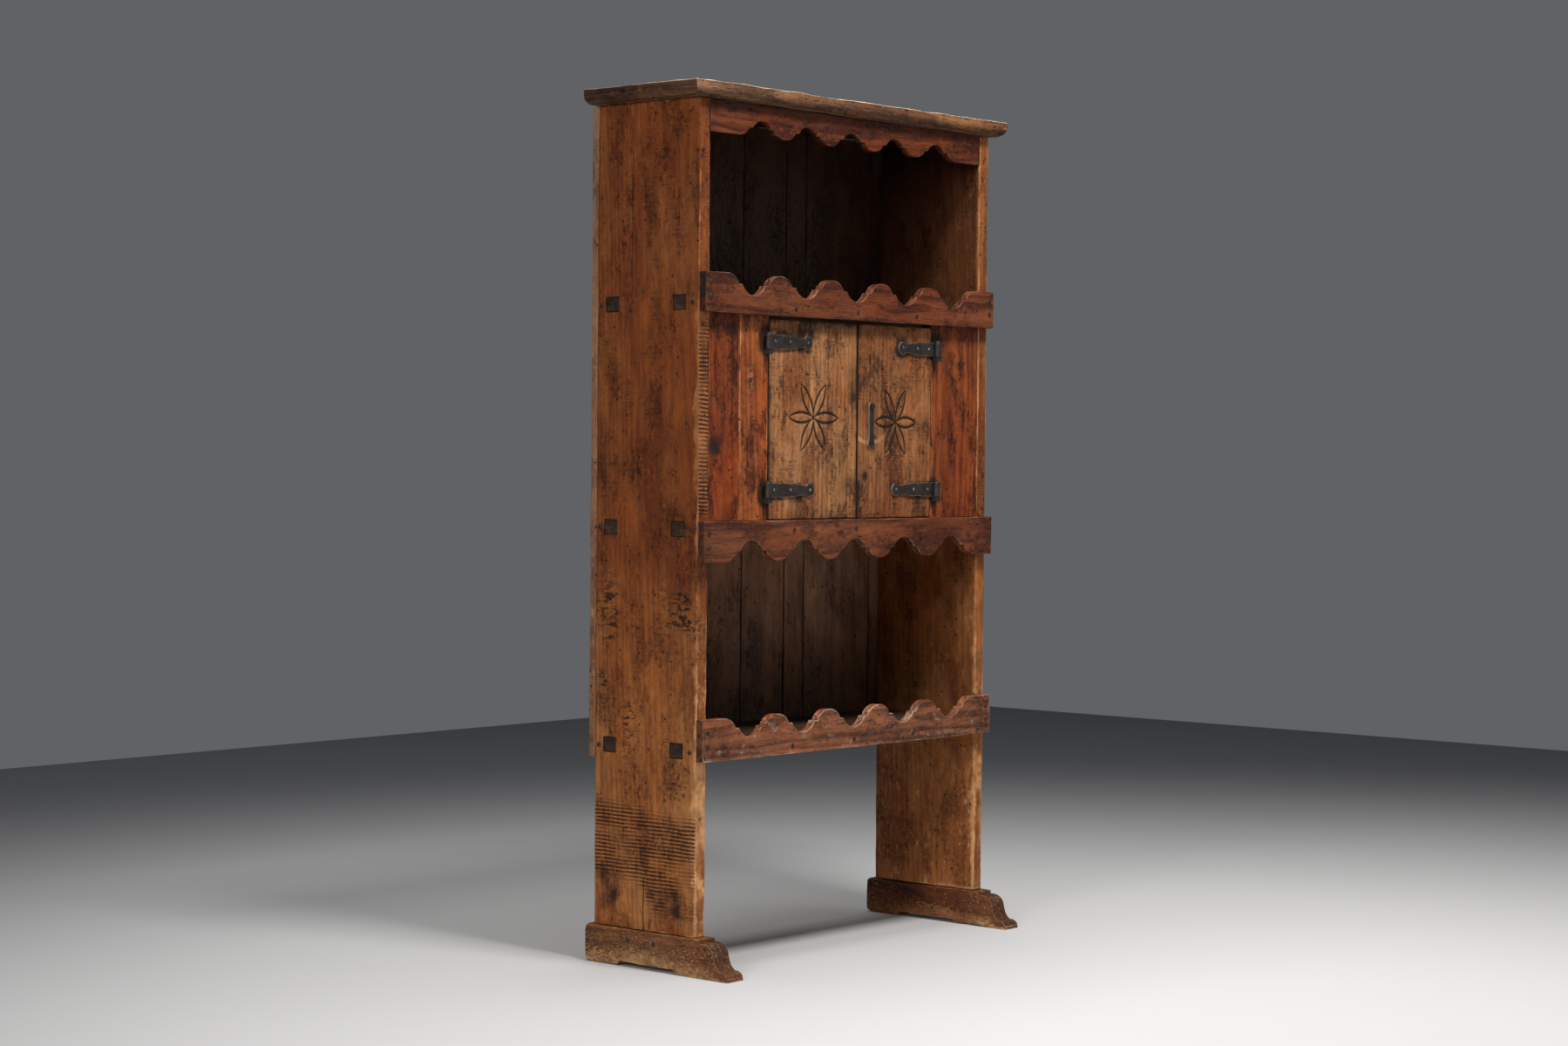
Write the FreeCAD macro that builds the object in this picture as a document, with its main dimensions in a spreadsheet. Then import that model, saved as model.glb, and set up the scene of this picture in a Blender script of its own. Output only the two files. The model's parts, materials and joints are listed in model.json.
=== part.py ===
import FreeCAD, Part
import math
import os
import re
import Sketcher

# Rustic standing cupboard on sledge feet: an open shelf, a cupboard with two plank doors and a second
# open shelf, with scalloped rails across the front. Millimetres, +Z up, front towards -Y, origin on the
# floor at the middle of the feet.

SIZES = {
    # Case
    "overall_height": 1750,
    "case_width": 928,
    "side_depth": 276,
    "side_thickness": 30,
    # Top board with an ovolo along the front and both ends
    "top_thickness": 33,
    "top_end_overhang": 36,
    "top_front_overhang": 24,
    "top_back_overhang": 9,
    "ovolo_radius": 21,
    # Sledge feet: ledge beside the side board, toe and heel beyond its edges
    "foot_height": 76,
    "foot_ledge": 9,
    "foot_toe": 95,
    "foot_heel": 21,
    "foot_step_reach": 20,
    "foot_step_drop": 7,
    "foot_fillet_width": 12,
    "foot_ovolo_width": 25,
    "foot_ovolo_drop": 24,
    "foot_ovolo_radius": 27,
    "foot_cove_width": 17,
    "foot_cove_drop": 27,
    "foot_cove_radius": 34,
    "foot_groove_width": 5,
    "foot_bead_radius": 19,
    "foot_toe_height": 5,
    "foot_relief_depth": 8,
    "foot_relief_front": 46,
    "foot_relief_back": 72,
    "foot_relief_slope": 7,
    # Stub tenon that sets a side board into its foot
    "stub_thickness": 14,
    "stub_depth": 45,
    "stub_shoulder": 30,
    # Shelves with two through tenons at each end
    "shelf_thickness": 31,
    "upper_shelf_z": 1304,
    "middle_shelf_z": 860,
    "bottom_shelf_z": 424,
    "front_tenon_inset": 35,
    "back_tenon_inset": 22,
    "tenon_width": 36,
    # Scalloped rails
    "rail_thickness": 18,
    "gallery_drop": 4,
    "upper_gallery_height": 79,
    "lower_gallery_height": 84,
    "middle_apron_height": 81,
    "top_apron_height": 64,
    "scallop_count": 5,
    "rail_pitch": 161,
    "rail_scallop_depth": 42,
    "apron_pitch": 140,
    "apron_scallop_depth": 32,
    "scallop_step_width": 11,
    "scallop_step_drop": 2.5,
    "dome_flat": 5,
    # Fixed boards beside the doors
    "front_board_thickness": 24,
    "front_board_recess": 1,
    "outer_board_width": 90.5,
    "inner_board_width": 86,
    "right_board_width": 162.5,
    # Doors
    "door_thickness": 22,
    "left_door_width": 278,
    "door_side_gap": 1.5,
    "door_meeting_gap": 2,
    "door_floor_gap": 1.5,
    "door_head_gap": 9.5,
    "stop_height": 20,
    "stop_depth": 18,
    "stop_gap": 0.5,
    "stop_end_gap": 1,
    # Back boards, numbered from the left; the first one fills what the others leave
    "back_board_thickness": 18,
    "back_bottom_z": 412,
    "back_board_2_width": 220,
    "back_board_3_width": 138,
    "back_board_4_width": 66,
    "back_board_5_width": 224,
    "back_board_6_width": 60,
    # Forged strap hinges on pintles
    "pin_radius": 4.5,
    "pin_clearance": 0.08,
    "eye_wall": 3.4,
    "eye_face_gap": 0.6,
    "pin_outset": 10,
    "strap_height": 31,
    "strap_thickness": 3.5,
    "strap_middle_taper": 1.5,
    "strap_neck_height": 18,
    "strap_knob_radius": 13.5,
    "upper_left_strap_length": 140,
    "lower_left_strap_length": 149,
    "upper_right_strap_length": 124,
    "lower_right_strap_length": 144,
    "upper_hinge_inset": 30,
    "lower_hinge_inset": 43,
    "strap_nail_root": 24,
    "pintle_seat_gap": 0.3,
    "pintle_block_height": 10,
    "pintle_block_width": 11,
    "pintle_tip": 3,
    "spike_length": 20,
    # Turn button that bars the left door
    "button_height": 232,
    "button_inset": 41,
    "button_length": 80,
    "button_eye_radius": 8,
    "button_waist": 15,
    "button_tip_width": 24,
    "button_tip_length": 20,
    "button_flare_radius": 30,
    "button_thickness": 4,
    "button_face_gap": 0.8,
    "button_pin_radius": 3,
    "button_head_radius": 5.5,
    "button_head_height": 3,
    "button_tail_side": 4,
    "button_tail_length": 18,
    # Forged nails with square shanks and faceted heads
    "nail_side": 4.5,
    "nail_head_radius": 6,
    "nail_head_height": 2.2,
    "rail_nail_length": 50,
    "rail_nail_low": 30,
    "rail_nail_high": 58,
    "rail_nail_shelf_rise": 12,
    "rail_nail_spread": 195,
    "side_nail_length": 50,
    "side_nail_front": 17,
    "side_nail_back": 11,
    "side_nail_rise": 14,
    "back_nail_length": 45,
    "back_nail_rise": 23,
    "back_nail_inset": 24,
    "back_single_nail_width": 96,
    "back_edge_nail_drop": 140,
    "top_nail_length": 75,
    "top_nail_inset": 40,
    "board_nail_length": 62,
    "board_nail_inset": 28,
    "stop_nail_length": 40,
    "stop_nail_inset": 110,
    "foot_nail_length": 36,
    "foot_nail_spread": 70,
    "strap_nail_length": 21,
    "strap_nail_side": 3.5,
    "strap_nail_head_radius": 4.5,
}

NAIL_HEAD_SIDES = 8
NAIL_CROWN_SHARE = 0.45
BACK_BOARD_COUNT = 6

# How a sketch numbers its own axes, downwards, and the points of a line or an arc, upwards
X_AXIS, Y_AXIS = range(-1, -3, -1)
START, END, CENTRE = range(1, 4)
ORIGIN = (X_AXIS, START)

document = FreeCAD.newDocument("Cupboard")
sheet = document.addObject("Spreadsheet::Sheet", "Sizes")
for row, (alias, number) in enumerate(SIZES.items(), start=1):
    sheet.set(f"A{row}", alias)
    sheet.set(f"B{row}", str(number))
    sheet.setAlias(f"B{row}", alias)
document.recompute()


def bound(text):
    """Expression text with each size's name pointed at the sheet."""
    return re.sub(r"[a-z][a-z0-9_]*", lambda word: point_at_sheet(word.group()), text)


def point_at_sheet(word):
    return f"Sizes.{word}" if word in SIZES else word


def value(text):
    """The number that an expression text comes to now."""
    return float(sheet.evalExpression(bound(text)))


# Places that several pieces share, as expression texts
FRONT = "((foot_toe - side_depth - foot_heel) / 2)"
BACK = f"({FRONT} + side_depth)"
OUTER = "(case_width / 2)"
INNER = "(case_width / 2 - side_thickness)"
CASE_TOP = "(overall_height - top_thickness)"
SHELF_FLOORS = {"upper": "upper_shelf_z", "middle": "middle_shelf_z", "bottom": "bottom_shelf_z"}
CUPBOARD_FLOOR = "(middle_shelf_z + shelf_thickness)"
OPENING_LEFT = f"(outer_board_width + inner_board_width - {INNER})"
OPENING_RIGHT = f"({INNER} - right_board_width)"
LEFT_DOOR_EDGE = f"({OPENING_LEFT} + door_side_gap)"
LEFT_DOOR_MEETING = f"({LEFT_DOOR_EDGE} + left_door_width)"
RIGHT_DOOR_MEETING = f"({LEFT_DOOR_MEETING} + door_meeting_gap)"
RIGHT_DOOR_EDGE = f"({OPENING_RIGHT} - door_side_gap)"
DOOR_BOTTOM = f"({CUPBOARD_FLOOR} + door_floor_gap)"
DOOR_TOP = "(upper_shelf_z - door_head_gap)"
EYE_RADIUS = "(pin_radius + pin_clearance + eye_wall)"
PIN_REACH = f"({EYE_RADIUS} + eye_face_gap)"
PIN_Y = f"({FRONT} - {PIN_REACH})"
BOARD_FACE = f"({FRONT} + front_board_recess)"


def place(piece, where):
    """Bind a piece's position to three expression texts."""
    for axis, text in zip("xyz", where):
        piece.setExpression(f"Placement.Base.{axis}", bound(text))


def board(label, low, high):
    """Plain board between two corners given as expression texts."""
    piece = document.addObject("Part::Box", label)
    for name, start, end in zip(("Length", "Width", "Height"), low, high):
        piece.setExpression(name, bound(f"({end}) - ({start})"))
    place(piece, low)
    return piece


def body(label, where):
    piece = document.addObject("PartDesign::Body", label)
    place(piece, where)
    return piece


def plane_of(piece, role):
    return next(item for item in piece.Origin.OriginFeatures if item.Role == role)


def arc_between(start, end, radius, side):
    """Minor arc from start to end, its centre left (+1) or right (-1) of the way there."""
    chord = end - start
    half = chord.Length / 2
    normal = FreeCAD.Vector(-chord.y, chord.x, 0).normalize()
    centre = (start + end) / 2 + normal * side * math.sqrt(radius * radius - half * half)
    first, last = (start, end) if side > 0 else (end, start)
    angles = [math.atan2(point.y - centre.y, point.x - centre.x) for point in (first, last)]
    if angles[1] < angles[0]:
        angles[1] += 2 * math.pi
    return Part.ArcOfCircle(Part.Circle(centre, FreeCAD.Vector(0, 0, 1), radius), *angles)


def tie(sketch, kind, references, text):
    """Add a measured constraint and bind it to an expression."""
    index = sketch.addConstraint(Sketcher.Constraint(kind, *references, value(text)))
    sketch.setExpression(f"Constraints[{index}]", bound(text))


def locate(sketch, geometry, end, x_text, y_text):
    for kind, text, axis in (("DistanceX", x_text, Y_AXIS), ("DistanceY", y_text, X_AXIS)):
        if text == "0":
            sketch.addConstraint(Sketcher.Constraint("PointOnObject", geometry, end, axis))
        else:
            tie(sketch, kind, (*ORIGIN, geometry, end), text)


def draw_loop(sketch, loop):
    """Closed loop of points; a point with a radius and side starts an arc to the next point."""
    corners = [FreeCAD.Vector(value(x_text), value(y_text), 0) for x_text, y_text, *bend in loop]
    starts, ends = [], []
    for point, start, end in zip(loop, corners, corners[1:] + corners[:1]):
        x_text, y_text, *bend = point
        start_point, end_point = START, END
        if bend:
            radius, side = bend
            geometry = sketch.addGeometry(arc_between(start, end, value(radius), side))
            if side < 0:
                start_point, end_point = END, START
        else:
            geometry = sketch.addGeometry(Part.LineSegment(start, end))
        starts.append((geometry, start_point))
        ends.append((geometry, end_point))
    for end, start in zip(ends, starts[1:] + starts[:1]):
        sketch.addConstraint(Sketcher.Constraint("Coincident", *end, *start))
    for start, (x_text, y_text, *bend) in zip(starts, loop):
        locate(sketch, *start, x_text, y_text)
        if bend:
            tie(sketch, "Radius", start[:1], bend[0])


def new_sketch(piece, name, role, offset=None):
    sketch = piece.newObject("Sketcher::SketchObject", name)
    sketch.AttachmentSupport = (plane_of(piece, role), [""])
    sketch.MapMode = "FlatFace"
    if offset:
        sketch.setExpression("AttachmentOffset.Base.z", bound(offset))
    return sketch


def outline(piece, name, role, *loops, offset=None):
    sketch = new_sketch(piece, name, role, offset)
    for loop in loops:
        draw_loop(sketch, loop)
    return sketch


def disc(piece, name, role, radius, offset=None):
    """Sketch of a circle about the piece's own origin."""
    sketch = new_sketch(piece, name, role, offset)
    circle = Part.Circle(FreeCAD.Vector(), FreeCAD.Vector(0, 0, 1), value(radius))
    geometry = sketch.addGeometry(circle)
    sketch.addConstraint(Sketcher.Constraint("Coincident", geometry, CENTRE, *ORIGIN))
    tie(sketch, "Radius", (geometry,), radius)
    return sketch


def rectangle(x_low, y_low, x_high, y_high):
    return [(x_low, y_low), (x_high, y_low), (x_high, y_high), (x_low, y_high)]


def pad(piece, sketch, length, backwards=False, symmetric=False):
    feature = piece.newObject("PartDesign::Pad", f"{sketch.Name}_pad")
    feature.Profile = sketch
    feature.setExpression("Length", bound(length))
    feature.Reversed = backwards
    if symmetric:
        feature.SideType = "Symmetric"
    return feature


def pocket(piece, sketch):
    """Cut a sketch right through the piece, both ways."""
    document.recompute()
    before = piece.Shape.Volume
    feature = piece.newObject("PartDesign::Pocket", f"{sketch.Name}_pocket")
    feature.Profile = sketch
    feature.Type = "ThroughAll"
    feature.SideType = "Symmetric"
    document.recompute()
    if piece.Shape.Volume >= before:
        raise RuntimeError(f"{feature.Name} cuts nothing")
    return feature


def cut(label, blank, tools):
    """The blank with the room for its nails and tenons taken out."""
    tool = tools[0]
    if len(tools) > 1:
        tool = document.addObject("Part::Compound", f"{label}_tools")
        tool.Links = tools
    piece = document.addObject("Part::Cut", label)
    piece.Base = blank
    piece.Tool = tool
    return piece


def one_nail(length, side, head_radius, head_height):
    """Nail driven along +Z, its head's underside at the origin: square shank, faceted rose head."""
    shank = Part.makeBox(side, side, length, FreeCAD.Vector(-side / 2, -side / 2, 0))
    rims = []
    for radius, height in ((head_radius, 0), (head_radius * NAIL_CROWN_SHARE, -head_height)):
        turns = [math.pi * (2 * step + 1) / NAIL_HEAD_SIDES for step in range(NAIL_HEAD_SIDES)]
        points = [FreeCAD.Vector(radius * math.cos(turn), radius * math.sin(turn), height) for turn in turns]
        rims.append(Part.makePolygon(points + points[:1]))
    return shank.fuse(Part.makeLoft(rims, True, True)).removeSplitter()


def nails(label, groups, side="nail_side", head_radius="nail_head_radius"):
    """Set of nails in one node; each group is a driving direction, a length and the heads' places."""
    solids = []
    for direction, length, places in groups:
        turn = FreeCAD.Rotation(FreeCAD.Vector(0, 0, 1), FreeCAD.Vector(*direction))
        model = one_nail(value(length), value(side), value(head_radius), value("nail_head_height"))
        for where in places:
            nail = model.copy()
            nail.Placement = FreeCAD.Placement(FreeCAD.Vector(*map(value, where)), turn)
            solids.append(nail)
    piece = document.addObject("Part::Feature", label)
    piece.Shape = Part.makeCompound(solids)
    piece.Placement = FreeCAD.Placement()
    return piece


RIGHTWARD, LEFTWARD = (1, 0, 0), (-1, 0, 0)
BACKWARD, FORWARD = (0, 1, 0), (0, -1, 0)
UPWARD, DOWNWARD = (0, 0, 1), (0, 0, -1)


def top_board():
    """Top with a quarter-round ovolo cut under its front and its two ends."""
    length_half = f"({OUTER} + top_end_overhang)"
    piece = body("top_board_blank", ("0", FRONT, CASE_TOP))
    ends = outline(piece, "top_ends", "XZ_Plane", [
        (f"-{length_half}", "top_thickness"),
        (f"-{length_half}", "ovolo_radius", "ovolo_radius", 1),
        (f"ovolo_radius - {length_half}", "0"),
        (f"{length_half} - ovolo_radius", "0", "ovolo_radius", 1),
        (length_half, "ovolo_radius"),
        (length_half, "top_thickness"),
    ], offset="top_front_overhang")
    depth = "top_front_overhang + side_depth + top_back_overhang"
    pad(piece, ends, depth, backwards=True)
    front = outline(piece, "top_front", "YZ_Plane", [
        ("-top_front_overhang - ovolo_radius", "-ovolo_radius"),
        ("ovolo_radius - top_front_overhang", "-ovolo_radius"),
        ("ovolo_radius - top_front_overhang", "0", "ovolo_radius", -1),
        ("-top_front_overhang", "ovolo_radius"),
        ("-top_front_overhang - ovolo_radius", "ovolo_radius"),
    ])
    pocket(piece, front)
    return piece


def shelf(level):
    """Shelf between the sides, two tenons at each end reaching the sides' outer faces."""
    piece = body(f"{level}_shelf_blank", ("0", FRONT, SHELF_FLOORS[level]))
    tenons = [("front_tenon_inset", "front_tenon_inset + tenon_width"),
              ("side_depth - back_tenon_inset - tenon_width", "side_depth - back_tenon_inset")]
    right = [(INNER, "0")]
    for near, far in tenons:
        right += [(INNER, near), (OUTER, near), (OUTER, far), (INNER, far)]
    right.append((INNER, "side_depth"))
    left = [(f"-{x}", y) for x, y in reversed(right)]
    sketch = outline(piece, f"{level}_shelf_outline", "XY_Plane", right + left)
    pad(piece, sketch, "shelf_thickness")
    return piece


def side_blank(hand, sign):
    """Side board with its stub tenon, before the mortises."""
    outer, inner = (f"-{OUTER}", f"-{INNER}") if sign < 0 else (INNER, OUTER)
    middle = f"({sign} * (case_width - side_thickness) / 2)"
    plank = board(f"{hand}_side_plank", (outer, FRONT, "foot_height"), (inner, BACK, CASE_TOP))
    stub = board(
        f"{hand}_side_stub",
        (f"{middle} - stub_thickness / 2", f"{FRONT} + stub_shoulder", "foot_height - stub_depth"),
        (f"{middle} + stub_thickness / 2", f"{BACK} - stub_shoulder", "foot_height"),
    )
    piece = document.addObject("Part::Fuse", f"{hand}_side_blank")
    piece.Base = plank
    piece.Tool = stub
    return piece


def foot_blank(hand, sign):
    """Sledge foot: step, ovolo, cove and bead at the toe, shallow relief underneath."""
    piece = body(f"{hand}_foot_blank", (f"{sign} * (case_width - side_thickness) / 2", FRONT, "0"))
    step_y = "(-foot_step_reach)"
    step_z = "(foot_height - foot_step_drop)"
    ovolo_y = f"({step_y} - foot_fillet_width)"
    cove_y = f"({ovolo_y} - foot_ovolo_width)"
    cove_z = f"({step_z} - foot_ovolo_drop)"
    groove_y = f"({cove_y} - foot_cove_width)"
    groove_z = f"({cove_z} - foot_cove_drop)"
    relief_front = "foot_relief_front"
    relief_back = "(side_depth - foot_relief_back)"
    profile = outline(piece, f"{hand}_foot_profile", "YZ_Plane", [
        ("side_depth + foot_heel", "0"),
        ("side_depth + foot_heel", "foot_height"),
        (step_y, "foot_height"),
        (step_y, step_z),
        (ovolo_y, step_z, "foot_ovolo_radius", 1),
        (cove_y, cove_z, "foot_cove_radius", -1),
        (groove_y, groove_z),
        (f"{groove_y} - foot_groove_width", groove_z, "foot_bead_radius", 1),
        ("-foot_toe", "foot_toe_height"),
        ("-foot_toe", "0"),
        (relief_front, "0"),
        (f"{relief_front} + foot_relief_slope", "foot_relief_depth"),
        (f"{relief_back} - foot_relief_slope", "foot_relief_depth"),
        (relief_back, "0"),
    ])
    pad(piece, profile, "side_thickness + 2 * foot_ledge", symmetric=True)
    return piece


def scalloped(label, where, half_length, height, pitch, depth, upwards):
    """Rail with a row of scallops: each a round valley between stepped domes."""
    piece = body(f"{label}_blank", where)
    face = rectangle(f"-{half_length}", "0", half_length, height)
    plank = outline(piece, f"{label}_plank", "XZ_Plane", face)
    pad(piece, plank, "rail_thickness")
    edge, inward = (height, "-1") if upwards else ("0", "1")
    turn = 1 if upwards else -1
    dome_end = f"(({pitch} - dome_flat) / 2)"
    valley_half = f"(({pitch} - 2 * scallop_step_width) / 4)"
    step_half = f"({valley_half} + scallop_step_width)"
    step_depth = f"({depth} / 2)"
    dome_depth = f"({step_depth} - scallop_step_drop)"
    dome_half = f"({dome_end} - {step_half})"
    dome_radius = f"({dome_half} ^ 2 + {dome_depth} ^ 2) / (2 * {dome_depth})"
    valley_radius = f"({valley_half} ^ 2 + {step_depth} ^ 2) / (2 * {step_depth})"

    def level(text):
        return f"{edge} + {inward} * ({text})"

    first = f"(-(scallop_count - 1) / 2 * {pitch})"
    scallop = outline(piece, f"{label}_scallop", "XZ_Plane", [
        (f"{first} - {dome_end}", level("-scallop_step_width")),
        (f"{first} - {dome_end}", level("0"), dome_radius, -turn),
        (f"{first} - {step_half}", level(dome_depth)),
        (f"{first} - {step_half}", level(step_depth)),
        (f"{first} - {valley_half}", level(step_depth), valley_radius, turn),
        (f"{first} + {valley_half}", level(step_depth)),
        (f"{first} + {step_half}", level(step_depth)),
        (f"{first} + {step_half}", level(dome_depth), dome_radius, -turn),
        (f"{first} + {dome_end}", level("0")),
        (f"{first} + {dome_end}", level("-scallop_step_width")),
    ])
    notch = pocket(piece, scallop)
    row = piece.newObject("PartDesign::LinearPattern", f"{label}_row")
    row.Originals = [notch]
    row.Direction = (scallop, ["H_Axis"])
    row.setExpression("Length", bound(f"(scallop_count - 1) * {pitch}"))
    row.setExpression("Occurrences", bound("scallop_count"))
    piece.Tip = row
    return piece


def strap(label, pin_x, eye_z, length, sign):
    """Forged strap: rolled eye about the pin, tapering blade, narrow neck and round knob end."""
    piece = body(f"{label}_blank", (pin_x, PIN_Y, eye_z))
    middle = "(strap_height / 2)"
    neck_half = "(strap_neck_height / 2)"
    neck_x = f"({length} - strap_knob_radius - sqrt(strap_knob_radius ^ 2 - {neck_half} ^ 2))"
    waist_half = f"({middle} - strap_middle_taper)"
    along = [
        ("0", "0"),
        (f"{length} / 2", f"{middle} - {waist_half}"),
        (neck_x, f"{middle} - {neck_half}", "strap_knob_radius", sign),
        (length, middle, "strap_knob_radius", sign),
        (neck_x, f"{middle} + {neck_half}"),
        (f"{length} / 2", f"{middle} + {waist_half}"),
        ("0", "strap_height"),
    ]
    mirrored = [(x if x == "0" else f"{sign} * ({x})",) + tuple(rest) for x, *rest in along]
    blade = outline(piece, f"{label}_blade", "XZ_Plane", mirrored, offset=f"-{PIN_REACH}")
    pad(piece, blade, "strap_thickness")
    eye = disc(piece, f"{label}_eye", "XY_Plane", EYE_RADIUS)
    pad(piece, eye, "strap_height")
    bore = disc(piece, f"{label}_bore", "XY_Plane", "pin_radius + pin_clearance")
    pocket(piece, bore)
    return piece


def pintle(label, pin_x, eye_z):
    """Upright pin on a block that carries the eye, with a square spike into the fixed board."""
    piece = body(label, (pin_x, PIN_Y, f"{eye_z} - pintle_seat_gap"))
    half = "(pintle_block_width / 2)"
    reach = f"({PIN_REACH} + front_board_recess)"
    pin = disc(piece, f"{label}_pin", "XY_Plane", "pin_radius")
    pad(piece, pin, "strap_height + pintle_seat_gap + pintle_tip")
    block = outline(piece, f"{label}_block", "XY_Plane", rectangle(f"-{half}", f"-{half}", half, reach))
    pad(piece, block, "pintle_block_height", backwards=True)
    spike = outline(piece, f"{label}_spike", "XZ_Plane",
                    rectangle(f"-{half} + eye_wall / 2", "-pintle_block_height",
                              f"{half} - eye_wall / 2", "0"), offset=f"-{reach}")
    pad(piece, spike, "spike_length", backwards=True)
    return piece


def turn_button(pivot):
    """Flat iron bar that hangs from its nail, flared at the tip."""
    piece = body("turn_button", pivot)
    eye, waist, tip = "button_eye_radius", "(button_waist / 2)", "(button_tip_width / 2)"
    neck_z = "(button_tip_length - button_length)"
    bar = outline(piece, "button_outline", "XZ_Plane", [
        ("0", eye, eye, 1),
        (f"-{eye}", "0"),
        (f"-{waist}", neck_z, "button_flare_radius", 1),
        (f"-{tip}", "-button_length", "button_tip_width", 1),
        (tip, "-button_length", "button_flare_radius", 1),
        (waist, neck_z),
        (eye, "0", eye, 1),
    ], offset="button_face_gap")
    pad(piece, bar, "button_thickness")
    bore = disc(piece, "button_bore", "XZ_Plane", "button_pin_radius + pin_clearance")
    pocket(piece, bore)
    return piece


def button_nail(pivot):
    """Round neck that the button turns on, a flat head in front and a square tail in the door."""
    piece = body("button_nail", pivot)
    neck_length = "(button_thickness + 2 * button_face_gap)"
    neck = disc(piece, "button_neck", "XZ_Plane", "button_pin_radius")
    pad(piece, neck, neck_length)
    head = disc(piece, "button_head", "XZ_Plane", "button_head_radius", offset=neck_length)
    pad(piece, head, "button_head_height")
    half = "(button_tail_side / 2)"
    tail = outline(piece, "button_tail", "XZ_Plane", rectangle(f"-{half}", f"-{half}", half, half))
    pad(piece, tail, "button_tail_length", backwards=True)
    return piece


# Carcass blanks
shelves = {level: shelf(level) for level in SHELF_FLOORS}
HANDS = {"left": -1, "right": 1}
side_blanks = {hand: side_blank(hand, sign) for hand, sign in HANDS.items()}
foot_blanks = {hand: foot_blank(hand, sign) for hand, sign in HANDS.items()}
top_blank = top_board()

# Scalloped rails: two galleries rise in front of their shelves, two aprons hang
upper_gallery_z = "(upper_shelf_z - gallery_drop)"
lower_gallery_z = "(bottom_shelf_z - gallery_drop)"
middle_apron_z = f"({CUPBOARD_FLOOR} - middle_apron_height)"
rail_scallop = ("rail_pitch", "rail_scallop_depth")
rail_blanks = {
    "upper_gallery": scalloped("upper_gallery_rail", ("0", FRONT, upper_gallery_z), OUTER,
                               "upper_gallery_height", *rail_scallop, upwards=True),
    "middle_apron": scalloped("middle_apron_rail", ("0", FRONT, middle_apron_z), OUTER,
                              "middle_apron_height", *rail_scallop, upwards=False),
    "lower_gallery": scalloped("lower_gallery_rail", ("0", FRONT, lower_gallery_z), OUTER,
                               "lower_gallery_height", *rail_scallop, upwards=True),
    "top_apron": scalloped("top_apron", ("0", f"{FRONT} + rail_thickness", f"{CASE_TOP} - top_apron_height"),
                           INNER, "top_apron_height", "apron_pitch", "apron_scallop_depth", upwards=False),
}

# Fixed boards beside the doors, just behind the sides' front edges
board_spans = {
    "outer_front_board": (f"-{INNER}", f"outer_board_width - {INNER}"),
    "inner_front_board": (f"outer_board_width - {INNER}", OPENING_LEFT),
    "right_front_board": (OPENING_RIGHT, INNER),
}
board_blanks = {
    name: board(f"{name}_blank", (left, BOARD_FACE, CUPBOARD_FLOOR),
                (right, f"{BOARD_FACE} + front_board_thickness", "upper_shelf_z"))
    for name, (left, right) in board_spans.items()
}
stop_front = f"({FRONT} + door_thickness + stop_gap)"
stop_blank = board("door_stop_blank",
                   (f"{OPENING_LEFT} + stop_end_gap", stop_front, "upper_shelf_z - stop_height"),
                   (f"{OPENING_RIGHT} - stop_end_gap", f"{stop_front} + stop_depth", "upper_shelf_z"))

# Back boards, side by side across the whole width
back_edges = [OUTER]
for number in range(BACK_BOARD_COUNT, 1, -1):
    back_edges.insert(0, f"({back_edges[0]} - back_board_{number}_width)")
back_edges.insert(0, f"-{OUTER}")
back_face = f"({BACK} + back_board_thickness)"
back_blanks = [
    board(f"back_board_{number}_blank", (left, BACK, "back_bottom_z"), (right, back_face, CASE_TOP))
    for number, (left, right) in enumerate(zip(back_edges, back_edges[1:]), start=1)
]

# Doors
door_spans = {"left": (LEFT_DOOR_EDGE, LEFT_DOOR_MEETING), "right": (RIGHT_DOOR_MEETING, RIGHT_DOOR_EDGE)}
door_back = f"{FRONT} + door_thickness"
door_blanks = {
    hand: board(f"{hand}_door_blank", (left, FRONT, DOOR_BOTTOM), (right, door_back, DOOR_TOP))
    for hand, (left, right) in door_spans.items()
}

# Hinges: a strap on the door and a pintle in the board beside it
hinge_heights = {
    "upper": f"({DOOR_TOP} - upper_hinge_inset - strap_height)",
    "lower": f"({DOOR_BOTTOM} + lower_hinge_inset)",
}
pin_places = {"left": f"({LEFT_DOOR_EDGE} - pin_outset)", "right": f"({RIGHT_DOOR_EDGE} + pin_outset)"}
strap_blanks = {}
pintles = {}
strap_nail_places = {"left": [], "right": []}
strap_face = f"({FRONT} - strap_thickness)"
for hand, sign in HANDS.items():
    for level, eye_z in hinge_heights.items():
        name = f"{level}_{hand}"
        length = f"{name}_strap_length"
        strap_blanks[name] = strap(f"{name}_strap", pin_places[hand], eye_z, length, -sign)
        pintles[name] = pintle(f"{name}_pintle", pin_places[hand], eye_z)
        for reach in ("strap_nail_root", f"{length} / 2", f"{length} - strap_knob_radius"):
            nail_x = f"{pin_places[hand]} - {sign} * ({reach})"
            strap_nail_places[hand].append((nail_x, strap_face, f"{eye_z} + strap_height / 2"))

# Turn button on the right door
button_pivot = (f"{RIGHT_DOOR_MEETING} + button_inset", FRONT, f"{DOOR_BOTTOM} + button_height")
button = turn_button(button_pivot)
button_pin = button_nail(button_pivot)

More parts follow.
